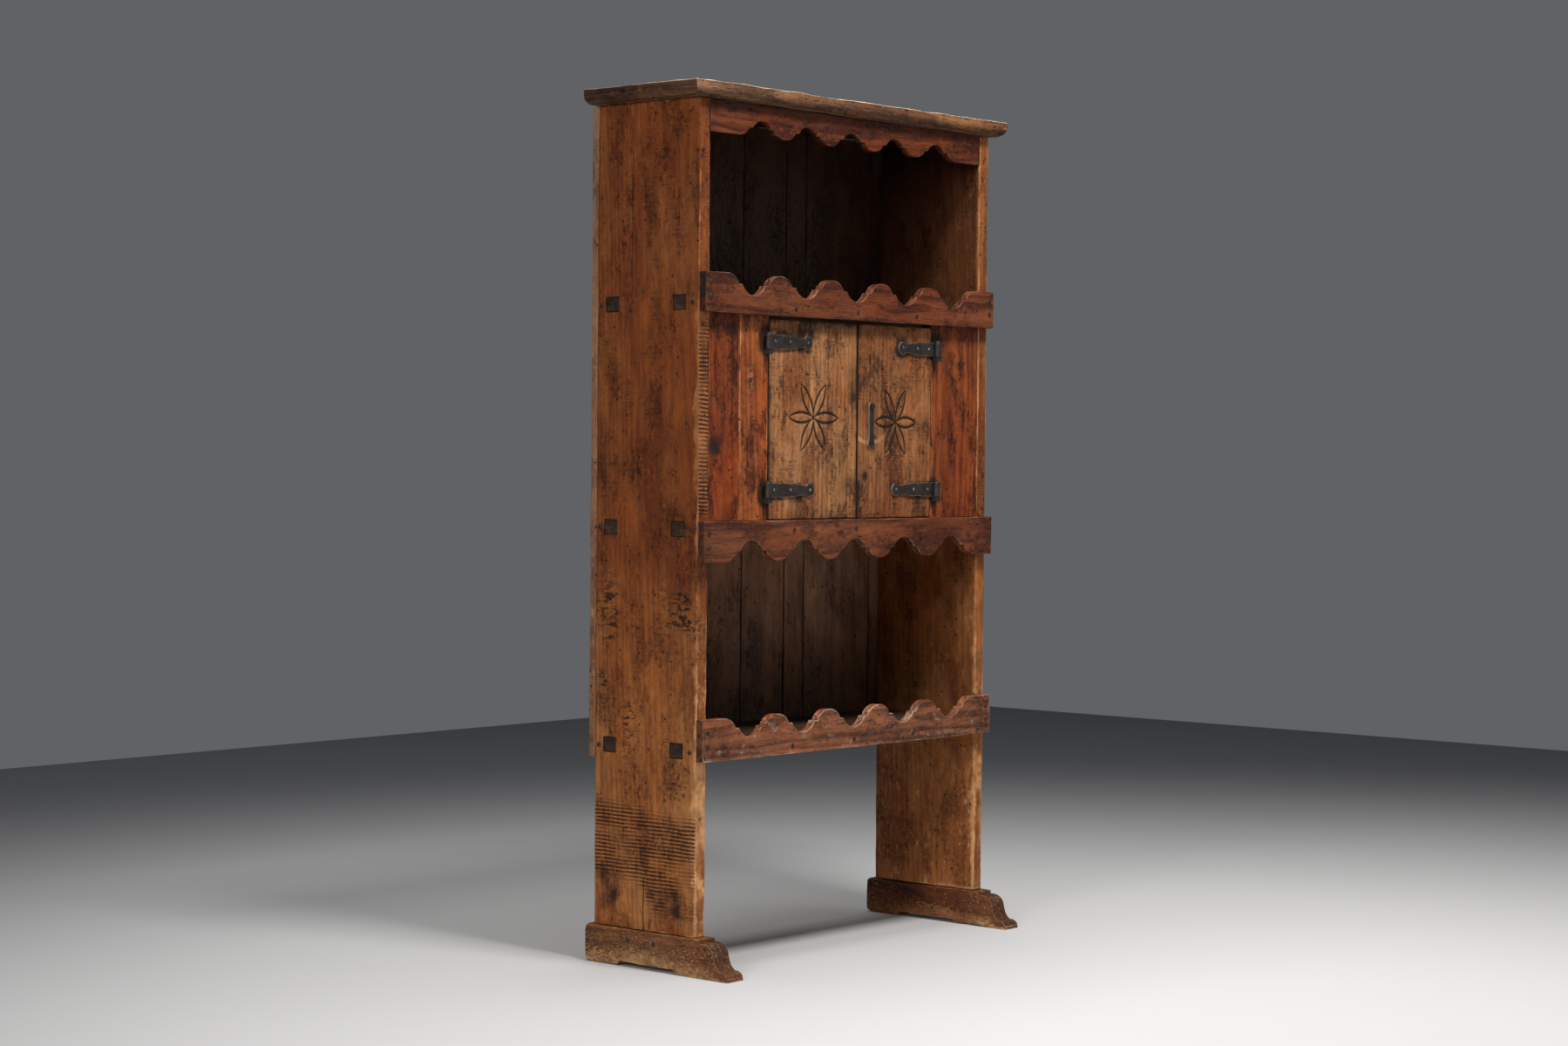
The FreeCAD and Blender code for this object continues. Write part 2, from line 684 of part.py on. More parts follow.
# Nails of the rails: two into each side's front edge, three into the shelf behind
rail_face = f"({FRONT} - rail_thickness)"
side_middle = "((case_width - side_thickness) / 2)"
rail_floors = {"upper_gallery": (upper_gallery_z, "upper_shelf_z"),
               "middle_apron": (middle_apron_z, "middle_shelf_z"),
               "lower_gallery": (lower_gallery_z, "bottom_shelf_z")}
rail_nails = {}
for name, (rail_z, shelf_z) in rail_floors.items():
    spots = [(f"{sign} * {side_middle}", rail_face, f"{rail_z} + {rise}")
             for sign in HANDS.values() for rise in ("rail_nail_low", "rail_nail_high")]
    spots += [(f"{step} * rail_nail_spread", rail_face, f"{shelf_z} + rail_nail_shelf_rise")
              for step in (-1, 0, 1)]
    rail_nails[name] = nails(f"{name}_nails", [(BACKWARD, "rail_nail_length", spots)])

# Nails through the sides into the shelves' ends, beside the tenons
side_nails = {}
for hand, sign in HANDS.items():
    spots = [(f"{sign} * {OUTER}", y, f"{floor} + side_nail_rise")
             for floor in SHELF_FLOORS.values()
             for y in (f"{FRONT} + side_nail_front", f"{BACK} - side_nail_back")]
    inward = RIGHTWARD if sign < 0 else LEFTWARD
    side_nails[hand] = nails(f"{hand}_side_nails", [(inward, "side_nail_length", spots)])

# Nails through the back boards into the shelves, and into the sides' back edges
back_spots = []
for left, right in zip(back_edges, back_edges[1:]):
    narrow = value(f"{right} - {left}") < value("back_single_nail_width")
    pair = [f"{left} + back_nail_inset", f"{right} - back_nail_inset"]
    across = [f"({left} + {right}) / 2"] if narrow else pair
    for floor in SHELF_FLOORS.values():
        back_spots += [(x, back_face, f"{floor} + back_nail_rise") for x in across]
for sign in HANDS.values():
    for level in ("middle_shelf_z", "upper_shelf_z", CASE_TOP):
        back_spots.append((f"{sign} * {side_middle}", back_face, f"{level} - back_edge_nail_drop"))
back_nails = nails("back_board_nails", [(FORWARD, "back_nail_length", back_spots)])

# Nails through the top into the sides' ends and the apron's outermost pendants between two scallops
top_spots = [(f"{sign} * {side_middle}", y, "overall_height")
             for sign in HANDS.values()
             for y in (f"{FRONT} + top_nail_inset", f"{FRONT} + side_depth / 2", f"{BACK} - top_nail_inset")]
pendant = "((scallop_count - 2) / 2 * apron_pitch)"
top_spots += [(f"{sign} * {pendant}", f"{FRONT} + rail_thickness / 2", "overall_height")
              for sign in HANDS.values()]
top_nails = nails("top_nails", [(DOWNWARD, "top_nail_length", top_spots)])

# Nails through the shelves into the ends of the fixed boards
board_middle = f"{BOARD_FACE} + front_board_thickness / 2"
board_nail_x = [x for left, right in board_spans.values()
                for x in (f"{left} + board_nail_inset", f"{right} - board_nail_inset")]
shelf_top = "upper_shelf_z + shelf_thickness"
board_nails = nails("front_board_nails", [
    (DOWNWARD, "board_nail_length", [(x, board_middle, shelf_top) for x in board_nail_x]),
    (UPWARD, "board_nail_length", [(x, board_middle, "middle_shelf_z") for x in board_nail_x]),
])
stop_nail_x = [f"{OPENING_LEFT} + stop_nail_inset", f"{OPENING_RIGHT} - stop_nail_inset"]
stop_nails = nails("door_stop_nails", [
    (UPWARD, "stop_nail_length",
     [(x, f"{stop_front} + stop_depth / 2", "upper_shelf_z - stop_height") for x in stop_nail_x]),
])

# Nails that pin the sides' stub tenons in the feet
foot_nails = {}
for hand, sign in HANDS.items():
    spots = [(f"{sign} * ({OUTER} + foot_ledge)", f"{FRONT} + side_depth / 2 + {step} * foot_nail_spread / 2",
              "foot_height - stub_depth / 2") for step in (-1, 1)]
    inward = RIGHTWARD if sign < 0 else LEFTWARD
    foot_nails[hand] = nails(f"{hand}_foot_nails", [(inward, "foot_nail_length", spots)])

# Nails that hold the straps on the doors
door_nails = {
    hand: nails(f"{hand}_door_nails", [(BACKWARD, "strap_nail_length", places)],
                side="strap_nail_side", head_radius="strap_nail_head_radius")
    for hand, places in strap_nail_places.items()
}

# Finished pieces: each blank less its mortises and nail holes
finished = [button, button_pin, back_nails, top_nails, board_nails, stop_nails]
for group in (pintles, rail_nails, side_nails, foot_nails, door_nails):
    finished += group.values()
finished.append(cut("top_board", top_blank, [top_nails]))
finished.append(cut("top_apron", rail_blanks["top_apron"], [top_nails]))
for name in rail_floors:
    finished.append(cut(f"{name}_rail", rail_blanks[name], [rail_nails[name]]))
shelf_rails = {"upper": "upper_gallery", "middle": "middle_apron", "bottom": "lower_gallery"}
shelf_tools = [*side_nails.values(), back_nails, board_nails, stop_nails]
for level, blank in shelves.items():
    finished.append(cut(f"{level}_shelf", blank, [*shelf_tools, rail_nails[shelf_rails[level]]]))
for hand, blank in side_blanks.items():
    tools = [*shelves.values(), *rail_nails.values(), back_nails, top_nails]
    tools += [side_nails[hand], foot_nails[hand]]
    finished.append(cut(f"{hand}_side_board", blank, tools))
    finished.append(cut(f"{hand}_foot", foot_blanks[hand], [blank, foot_nails[hand]]))
    finished.append(cut(f"{hand}_door", door_blanks[hand],
                        [door_nails[hand], button_pin] if hand == "right" else [door_nails[hand]]))
finished.append(cut("door_stop", stop_blank, [stop_nails]))
for number, blank in enumerate(back_blanks, start=1):
    finished.append(cut(f"back_board_{number}", blank, [back_nails]))
for name, blank in board_blanks.items():
    finished.append(cut(name, blank, [board_nails, *pintles.values()]))
for name, blank in strap_blanks.items():
    hand = name.split("_")[1]
    finished.append(cut(f"{name}_strap", blank, [door_nails[hand]]))

document.recompute()

failed = [item.Name for item in document.Objects if {"Invalid", "Error"} & set(item.State)]
failed += [item.Label for item in finished if item.Shape.isNull() or not item.Shape.isValid()]
loose = [item.Name for item in document.Objects
         if item.TypeId == "Sketcher::SketchObject" and not item.FullyConstrained]
if failed or loose:
    raise RuntimeError(f"failed: {failed}; not fully constrained: {loose}")

os.makedirs("parts", exist_ok=True)
for item in finished:
    item.Shape.exportStep(f"parts/{item.Label}.step")
print(len(finished), "sub-parts")
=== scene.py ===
import itertools
import json
import math

import bmesh
import bpy
import numpy as np
from mathutils import Matrix, Vector


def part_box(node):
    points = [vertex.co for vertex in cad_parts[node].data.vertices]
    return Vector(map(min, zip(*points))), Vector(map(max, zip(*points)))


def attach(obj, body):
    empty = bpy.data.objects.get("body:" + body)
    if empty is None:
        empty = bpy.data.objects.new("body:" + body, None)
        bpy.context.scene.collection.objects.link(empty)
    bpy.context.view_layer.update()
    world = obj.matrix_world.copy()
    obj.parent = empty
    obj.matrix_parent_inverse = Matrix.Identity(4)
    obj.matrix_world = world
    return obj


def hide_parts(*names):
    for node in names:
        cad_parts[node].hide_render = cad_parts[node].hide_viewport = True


# Old pine cupboard: every board is a worn mesh over its solid, with forged iron on the doors.
# Metres, +Z up, front towards -Y.

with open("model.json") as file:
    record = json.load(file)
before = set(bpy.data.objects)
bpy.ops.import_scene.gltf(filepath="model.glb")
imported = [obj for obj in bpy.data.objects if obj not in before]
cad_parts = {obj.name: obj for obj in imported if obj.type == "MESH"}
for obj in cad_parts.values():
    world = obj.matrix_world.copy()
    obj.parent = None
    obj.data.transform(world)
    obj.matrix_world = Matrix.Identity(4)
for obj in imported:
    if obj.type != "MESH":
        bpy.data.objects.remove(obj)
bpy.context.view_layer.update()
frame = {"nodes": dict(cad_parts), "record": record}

record = frame["record"]
SLOT_OF = {row["node"]: row["material_slot"] for row in record["subparts"]}
BODY_OF = {node: body for body, nodes in record["behaviour"]["bodies"].items() for node in nodes}
MM = 0.001
X, Y, Z = range(3)

CASE_LOW, CASE_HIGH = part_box("left_side_board")[0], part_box("right_side_board")[1]
FRONT = CASE_LOW.y
BACK = CASE_HIGH.y
OUTER = CASE_HIGH.x
INNER = -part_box("left_side_board")[1].x
CASE_TOP = CASE_HIGH.z
FOOT_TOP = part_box("left_foot")[1].z
SHELF_NODES = ("upper_shelf", "middle_shelf", "bottom_shelf")
TENONS = ((FRONT + 35 * MM, FRONT + 71 * MM), (FRONT + 218 * MM, FRONT + 254 * MM))

# Grid lines close to each edge of a board, so that its rounding shows
RIM = (0.5 * MM, 1.2 * MM, 2.2 * MM, 4 * MM)
NEAREST_LINES = 0.15 * MM
ON_PLANE = 0.01 * MM
WELD_GAP, SHELL_WELD_GAP = 0.01 * MM, 0.02 * MM
SHARP_ANGLE = math.radians(40)

# What is added to a board's seed for each of its noises
EDGES, ROUNDING, DENTS, PATCHES, HANDS, STAINS = 9, 20, 30, 40, 50, 60
SLOW_EDGE, QUICK_EDGE = 110 * MM, 20 * MM
DENT_DEPTH, DENT_SIZE, LONG_DENT = 0.3 * MM, 30 * MM, 120 * MM

# Limits of the draws: the tree's heart, sideways as a share of the board and in depth, its lean and start
HEART_SIDEWAYS, HEART_DEPTH = (-0.35, 0.35), (0.03, 0.08)
TREE_LEAN, TREE_START = (-0.04, 0.04), (-20, 20)

# Layers of marks at each point of a board that its finish reads
LAYERS = ("wear", "grime", "scuff", "tint", "kerf", "row")

# Shade inside the case: in the upper opening, in the lower one, and what the lower one's floor adds
UPPER_CAVE, LOWER_CAVE, FLOOR_CAVE = 0.95, 0.1, 0.62
CAVE_FRONT_SHARE = 0.86
CAVE_DEPTH = 180 * MM

HASH_FACTORS = (0x9E3779B97F4A7C15, 0xC2B2AE3D27D4EB4F, 0x165667B19E3779F9)
HASH_STIR = 0xFF51AFD7ED558CCD


def hashed(cells, seed):
    """Repeatable numbers from -1 to 1, one for each row of whole numbers."""
    mixed = np.full(len(cells), seed, np.uint64)
    for column, factor in zip(cells.T, HASH_FACTORS):
        mixed ^= column.astype(np.int64).astype(np.uint64) * np.uint64(factor)
        mixed *= np.uint64(HASH_STIR)
        mixed ^= mixed >> np.uint64(31)
    return (mixed >> np.uint64(40)).astype(float) / 2 ** 23 - 1


def wander(points, size, seed, octaves=2):
    """Smooth noise from about -1 to 1, its features as large as size, given once or for each axis."""
    spots = np.asarray(points, float).reshape(-1, 3) / size
    total = np.zeros(len(spots))
    for octave in range(octaves):
        cell = np.floor(spots)
        part = spots - cell
        part = part * part * (3 - 2 * part)
        for corner in itertools.product((0, 1), repeat=3):
            share = np.prod(np.where(corner, part, 1 - part), axis=1)
            total += share * hashed(cell + corner, seed + octave) / 2 ** octave
        spots = spots * 2
    return total


def smooth(low, high, values):
    """0 below low, 1 above high, with an even passage between them; low may be the larger."""
    share = np.clip((values - low) / (high - low), 0, 1)
    return share * share * (3 - 2 * share)


def bell(gap, reach):
    """1 where there is no gap, falling off over a reach."""
    return np.exp(-(gap / reach) ** 2)


def corners(node):
    """Low and high corners of a node's box, as arrays."""
    return [np.array(corner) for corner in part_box(node)]


def grid_lines(low, high, step, extra=()):
    """Grid lines between two ends, closer together near both, with extra lines where a mark needs them."""
    even = np.linspace(low, high, max(2, round((high - low) / step)) + 1)[1:-1]
    rim = [low, high]
    for gap in RIM:
        if 2 * gap < high - low:
            rim += [low + gap, high - gap]
    fixed = np.array(sorted([*rim, *extra]))
    clear = [value for value in even if np.abs(fixed - value).min() > 0.4 * step]
    every = np.array(sorted([*fixed, *clear]))
    keep = np.r_[True, np.diff(every) > NEAREST_LINES]
    return every[keep]


def lattice(axes, filled=None):
    """Outer faces of the filled cells of a lattice, as points and four-sided faces."""
    shape = [len(lines) for lines in axes]
    cells = np.zeros([count + 1 for count in shape], bool)
    cells[1:-1, 1:-1, 1:-1] = True if filled is None else filled
    quads = []
    for axis in range(3):
        second, third = (axis + 1) % 3, (axis + 2) % 3
        lower = np.take(cells, range(cells.shape[axis] - 1), axis)
        upper = np.take(cells, range(1, cells.shape[axis]), axis)
        for here, turned in ((lower & ~upper, False), (upper & ~lower, True)):
            corner = np.argwhere(here)
            corner[:, second] -= 1
            corner[:, third] -= 1
            ring = []
            for step_second, step_third in ((0, 0), (1, 0), (1, 1), (0, 1)):
                moved = corner.copy()
                moved[:, second] += step_second
                moved[:, third] += step_third
                ring.append(np.ravel_multi_index(moved.T, shape))
            quads.append(np.stack(ring[::-1] if turned else ring, axis=1))
    used, faces = np.unique(np.concatenate(quads), return_inverse=True)
    places = np.unravel_index(used, shape)
    points = np.stack([lines[place] for lines, place in zip(axes, places)], axis=1)
    return points, faces.reshape(-1, 4)


def cave(points):
    """How dim a surface is inside the open shelves: more at the back, and most in the upper one."""
    x, y, z = points.T
    floor_z, ceiling_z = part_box("bottom_shelf")[1].z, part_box("middle_shelf")[0].z
    inside = (np.abs(x) < INNER + 6 * MM) & (y > FRONT + 4 * MM) & (y < BACK + 4 * MM) & (z < CASE_TOP + MM)
    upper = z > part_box("upper_shelf")[1].z - MM
    lower = (z > floor_z - MM) & (z < ceiling_z + MM)
    depth = CAVE_FRONT_SHARE + (1 - CAVE_FRONT_SHARE) * smooth(FRONT, FRONT + CAVE_DEPTH, y)
    lower_cave = LOWER_CAVE + FLOOR_CAVE * smooth(ceiling_z, floor_z, z)
    return inside * depth * (upper * UPPER_CAVE + lower * lower_cave)


class Surface:
    """A board's points while it is being worn, with what its finish needs at each point."""

    def __init__(self, axes, low, high, seed, filled=None):
        self.flat, self.faces = lattice(axes, filled)
        self.points = self.flat.copy()
        self.low = np.array(low)
        self.high = np.array(high)
        self.seed = seed
        for layer in LAYERS:
            setattr(self, layer, np.zeros(len(self.flat)))

    def on(self, axis, value):
        """Which points lie on a plane across an axis."""
        return np.abs(self.flat[:, axis] - value) < ON_PLANE

    def ends(self, axis):
        """Both faces across an axis, each with the way into the board."""
        return (self.low[axis], 1), (self.high[axis], -1)

    def inward(self, axis, value):
        """Which way along an axis leads into the board from one of its faces."""
        return 1 if value < (self.low[axis] + self.high[axis]) / 2 else -1

    def noise(self, size, offset, octaves=2):
        """Smooth noise of the board's own."""
        return wander(self.flat, size, self.seed + offset, octaves)

    def edge_gap(self):
        """How far each point is from the board's nearest edge."""
        gaps = np.minimum(self.flat - self.low, self.high - self.flat)
        return np.sort(gaps, axis=1)[:, 1]

    def uneven(self, radius, share, size, offset=ROUNDING, most=2):
        """A radius that varies from point to point."""
        return radius * np.clip(1 + share * self.noise(size, offset), 0.3, most)

    def round_edges(self, radius):
        """Round the edges by a radius given for each point."""
        reach = np.reshape(radius, (-1, 1))
        core = np.clip(self.flat, self.low + reach, self.high - reach)
        away = self.flat - core
        length = np.linalg.norm(away, axis=1, keepdims=True)
        drawn_in = core + away * reach / np.maximum(length, 1e-9)
        self.points = np.where(length > reach, drawn_in, self.flat)

    def erode(self, along, amount):
        """Draw the long edges in and out along the board, always inwards from its solid."""
        for axis in range(3):
            if axis == along:
                continue
            for value, inward in self.ends(axis):
                far = np.abs(self.flat[:, axis] - value) / (self.high[axis] - self.low[axis])
                line = np.zeros_like(self.flat)
                line[:, along] = self.flat[:, along]
                line[:, axis] = value
                slow = wander(line, SLOW_EDGE, self.seed + axis)
                quick = wander(line, QUICK_EDGE, self.seed + EDGES)
                bite = np.clip(0.5 + 0.6 * slow + 0.3 * quick, 0, 2)
                self.points[:, axis] += inward * amount * bite * (1 - far)

    def dent(self, depth, size):
        """Shallow hollows all over, as old hand-planed boards have."""
        hollow = np.clip(0.5 + 0.7 * self.noise(size, DENTS), 0, 1.3)
        for axis in range(3):
            for value, inward in self.ends(axis):
                face = self.on(axis, value)
                self.points[face, axis] += inward * depth * hollow[face]


def make_object(name, points, faces, layers, node):
    """A mesh object that stands for a node, with its layers as vertex attributes."""
    mesh = bpy.data.meshes.new(name)
    mesh.from_pydata(points.tolist(), [], faces.tolist())
    for layer, values in layers.items():
        kind, field = ("FLOAT_VECTOR", "vector") if values.ndim == 2 else ("FLOAT", "value")
        attribute = mesh.attributes.new(layer, kind, "POINT")
        attribute.data.foreach_set(field, np.ascontiguousarray(values, np.float32).ravel())
    shell = bmesh.new()
    shell.from_mesh(mesh)
    bmesh.ops.remove_doubles(shell, verts=shell.verts, dist=SHELL_WELD_GAP)
    bmesh.ops.dissolve_degenerate(shell, edges=shell.edges, dist=WELD_GAP)
    shell.to_mesh(mesh)
    shell.free()
    mesh.shade_smooth()
    mesh.set_sharp_from_angle(angle=SHARP_ANGLE)
    piece = bpy.data.objects.new(name, mesh)
    bpy.context.scene.collection.objects.link(piece)
    mesh.materials.append(FINISH[SLOT_OF[node]])
    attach(piece, BODY_OF[node])
    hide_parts(node)


def grain_layer(surface, along, across, knots):
    """Place within the tree: along the trunk, and two distances from its heart, bent round the knots."""
    depth = X + Y + Z - along - across
    draw = np.random.default_rng(surface.seed)
    middle = (surface.low + surface.high) / 2
    spread = surface.high - surface.low
    heart_across = middle[across] + draw.uniform(*HEART_SIDEWAYS) * spread[across]
    heart_depth = middle[depth] + draw.choice((-1, 1)) * draw.uniform(*HEART_DEPTH)
    lean = draw.uniform(*TREE_LEAN)
    start = draw.uniform(*TREE_START)
    place = surface.points
    trunk = place[:, along]
    sideways = place[:, across] - heart_across + lean * (trunk - middle[along])
    inward = place[:, depth] - heart_depth
    for knot_along, knot_across, size in knots:
        from_along = (trunk - knot_along) / (3 * size)
        from_across = (place[:, across] - knot_across) / (1.4 * size)
        pull = np.exp(-from_along ** 2 - from_across ** 2)
        sideways += 1.1 * size * pull * np.tanh(3 * from_across)
        inward += 0.8 * size * pull
    return np.stack([trunk + start, sideways, inward], axis=1)


def finish_board(node, surface, along, across, marks, knots, wear_reach, grain=None):
    """Wear the surface with its marks and turn it into the piece that stands for the node."""
    patchy = 0.55 + 0.55 * surface.noise(0.05, PATCHES, 3)
    surface.wear += bell(surface.edge_gap(), wear_reach) * patchy
    for apply in marks:
        apply(surface)
    for knot_along, knot_across, size in knots:
        from_along = (surface.flat[:, along] - knot_along) / (1.3 * size)
        from_across = (surface.flat[:, across] - knot_across) / size
        surface.grime += 0.75 * np.exp(-2.5 * (from_along ** 2 + from_across ** 2))
    layers = {"grain": grain_layer(surface, along, across, knots) if grain is None else grain}
    layers.update((layer, getattr(surface, layer)) for layer in LAYERS)
    layers["cave"] = cave(surface.flat)
    make_object(f"{node}_worn", surface.points, surface.faces, layers, node)


def plain_box(node, seed, steps, extra):
    """Surface of a node's box, with a grid step and extra lines for each axis."""
    low, high = corners(node)
    axes = [grid_lines(*lines) for lines in zip(low, high, steps, extra)]
    return Surface(axes, low, high, seed)


def board(node, along, across, seed, low=None, step=10 * MM, extra=((), (), ()), round_by=2 * MM,
          bite=0.5 * MM, empty=(), marks=(), knots=(), wear_reach=3.5 * MM):
    """Worn board over a node's box; empty lists boxes that are cut out of it."""
    box_low, high = corners(node)
    low = box_low if low is None else np.array(low)
    more = [list(values) for values in extra]
    for cut in empty:
        for axis in range(3):
            more[axis] += [corner[axis] for corner in cut if low[axis] < corner[axis] < high[axis]]
    axes = [grid_lines(low[axis], high[axis], step, more[axis]) for axis in range(3)]
    centres = [(lines[1:] + lines[:-1]) / 2 for lines in axes]
    filled = np.ones([len(line) for line in centres], bool)
    for cut_low, cut_high in empty:
        within = [(centre > start) & (centre < end) for centre, start, end in zip(centres, cut_low, cut_high)]
        filled[np.ix_(*within)] = False
    surface = Surface(axes, low, high, seed, filled)
    surface.round_edges(surface.uneven(round_by, share=0.8, size=0.04))
    surface.erode(along, bite)
    surface.dent(DENT_DEPTH, (DENT_SIZE, DENT_SIZE, LONG_DENT if along == Z else DENT_SIZE))
    finish_board(node, surface, along, across, marks, knots, wear_reach)


# Finishes

# Sockets of a colour mix
MIX_SHARE, MIX_FIRST, MIX_SECOND, MIX_RESULT = 0, 6, 7, 2
BUMP_STRENGTH = 0.8


def tone(red, green, blue):
    """A colour given as a screen shows it, in 0 to 255, as a shader's colour."""
    parts = [value / 255 for value in (red, green, blue)]
    linear = [part / 12.92 if part <= 0.04045 else ((part + 0.055) / 1.055) ** 2.4 for part in parts]
    return (*linear, 1)


class Nodes:
    """Short ways to add nodes to a tree."""

    def __init__(self, tree):
        self.tree = tree

    def plug(self, socket, given):
        """Link a socket to another one, or set its value."""
        if isinstance(given, bpy.types.NodeSocket):
            self.tree.links.new(given, socket)
        else:
            socket.default_value = given

    def add(self, kind, sockets, output=0, **settings):
        made = self.tree.nodes.new(f"ShaderNode{kind}")
        for name, setting in settings.items():
            setattr(made, name, setting)
        for key, given in sockets.items():
            self.plug(made.inputs[key], given)
        return made.outputs[output]

    def math(self, operation, first, second=0.0):
        return self.add("Math", {0: first, 1: second}, operation=operation)


class Paint(Nodes):
    """A material and what its looks are made with."""

    def __init__(self, name):
        self.material = bpy.data.materials.new(name)
        self.material.use_nodes = True
        super().__init__(self.material.node_tree)
        self.shader = self.tree.nodes["Principled BSDF"]

    def layer(self, name, output="Fac"):
        return self.add("Attribute", {}, output, attribute_name=name)

    def times(self, first, second):
        return self.math("MULTIPLY", first, second)

    def vector(self, operation, first, second):
        return self.add("VectorMath", {0: first, 1: second}, operation=operation)

    def stretch(self, vector, *scale):
        return self.vector("MULTIPLY", vector, scale)

    def scaled(self, colour, light):
        return self.add("VectorMath", {0: colour, "Scale": light}, operation="SCALE")

    def noise(self, vector, along, across, detail=3.0, roughness=0.55, output="Fac"):
        """Noise with so many features to a metre along the first axis and across it."""
        place = self.stretch(vector, along, across, across)
        sockets = {"Vector": place, "Scale": 1.0, "Detail": detail, "Roughness": roughness}
        return self.add("TexNoise", sockets, output)

    def between(self, value, low, high):
        """0 below low and 1 above high, or the other way round."""
        sockets = {"Value": value, "From Min": low, "From Max": high}
        return self.add("MapRange", sockets, interpolation_type="SMOOTHSTEP")

    def mix(self, share, first, second, kind="MIX"):
        sockets = {MIX_SHARE: share, MIX_FIRST: first, MIX_SECOND: second}
        return self.add("Mix", sockets, MIX_RESULT, data_type="RGBA", blend_type=kind)

    def dim(self, colour, share, left):
        """A colour of which only the part called left remains, over a share of the surface."""
        return self.mix(share, colour, left, "MULTIPLY")

    def total(self, *parts):
        """Sum of values times weights."""
        scaled = [self.times(value, weight) for value, weight in parts]
        answer = scaled[0]
        for part in scaled[1:]:
            answer = self.math("ADD", answer, part)
        return answer

    def cover(self, colour, rough, smoothest, height=None, relief=0.0):
        """Give the shader its colour, its roughness above the smoothest, and its relief in metres."""
        self.plug(self.shader.inputs["Base Color"], colour)
        self.plug(self.shader.inputs["Roughness"], self.math("ADD", rough, smoothest))
        if height is not None:
            sockets = {"Strength": BUMP_STRENGTH, "Distance": relief, "Height": height}
            self.plug(self.shader.inputs["Normal"], self.add("Bump", sockets))


# What dirt, a redder tone, the shade inside the case, a saw kerf and a blush leave of a colour
DIRT = (0.24, 0.19, 0.16, 1)
TINT = (0.55, 0.38, 0.28, 1)
CAVE = (0.17, 0.13, 0.095, 1)
KERF = (0.1, 0.07, 0.06, 1)
BLUSH = (0.95, 0.8, 0.66, 1)
# Near black of soot, also used for painted shade
SOOT_AND_SHADE = tone(27, 18, 13)
RING_WIDTH = 11 * MM

# Noises of the wood: features to a metre along and across the grain, detail and roughness
GRAIN_NOISES = {
    "cloud": (5, 11, 6, 0.62),
    "blush": (3, 8, 4, 0.6),
    "blot": (8, 15, 8, 0.7),
    "mottle": (26, 42, 8, 0.72),
    "chip": (85, 115, 5, 0.7),
    "grit": (170, 240, 4, 0.65),
    "comb": (360, 14, 4, 0.65),
    "scrape": (220, 60, 5, 0.75),
    "gouge": (105, 38, 5, 0.72),
    "fleck": (110, 220, 6, 0.8),
}
STREAK_NOISE = (3, 50, 6, 0.7)
PORE_NOISE = (24, 260, 3, 0.6)
DRIFT_NOISE = (1.3, 9, 3)
DRIFT = 40 * MM
HOLES_TO_A_METRE = (62, 75, 75)


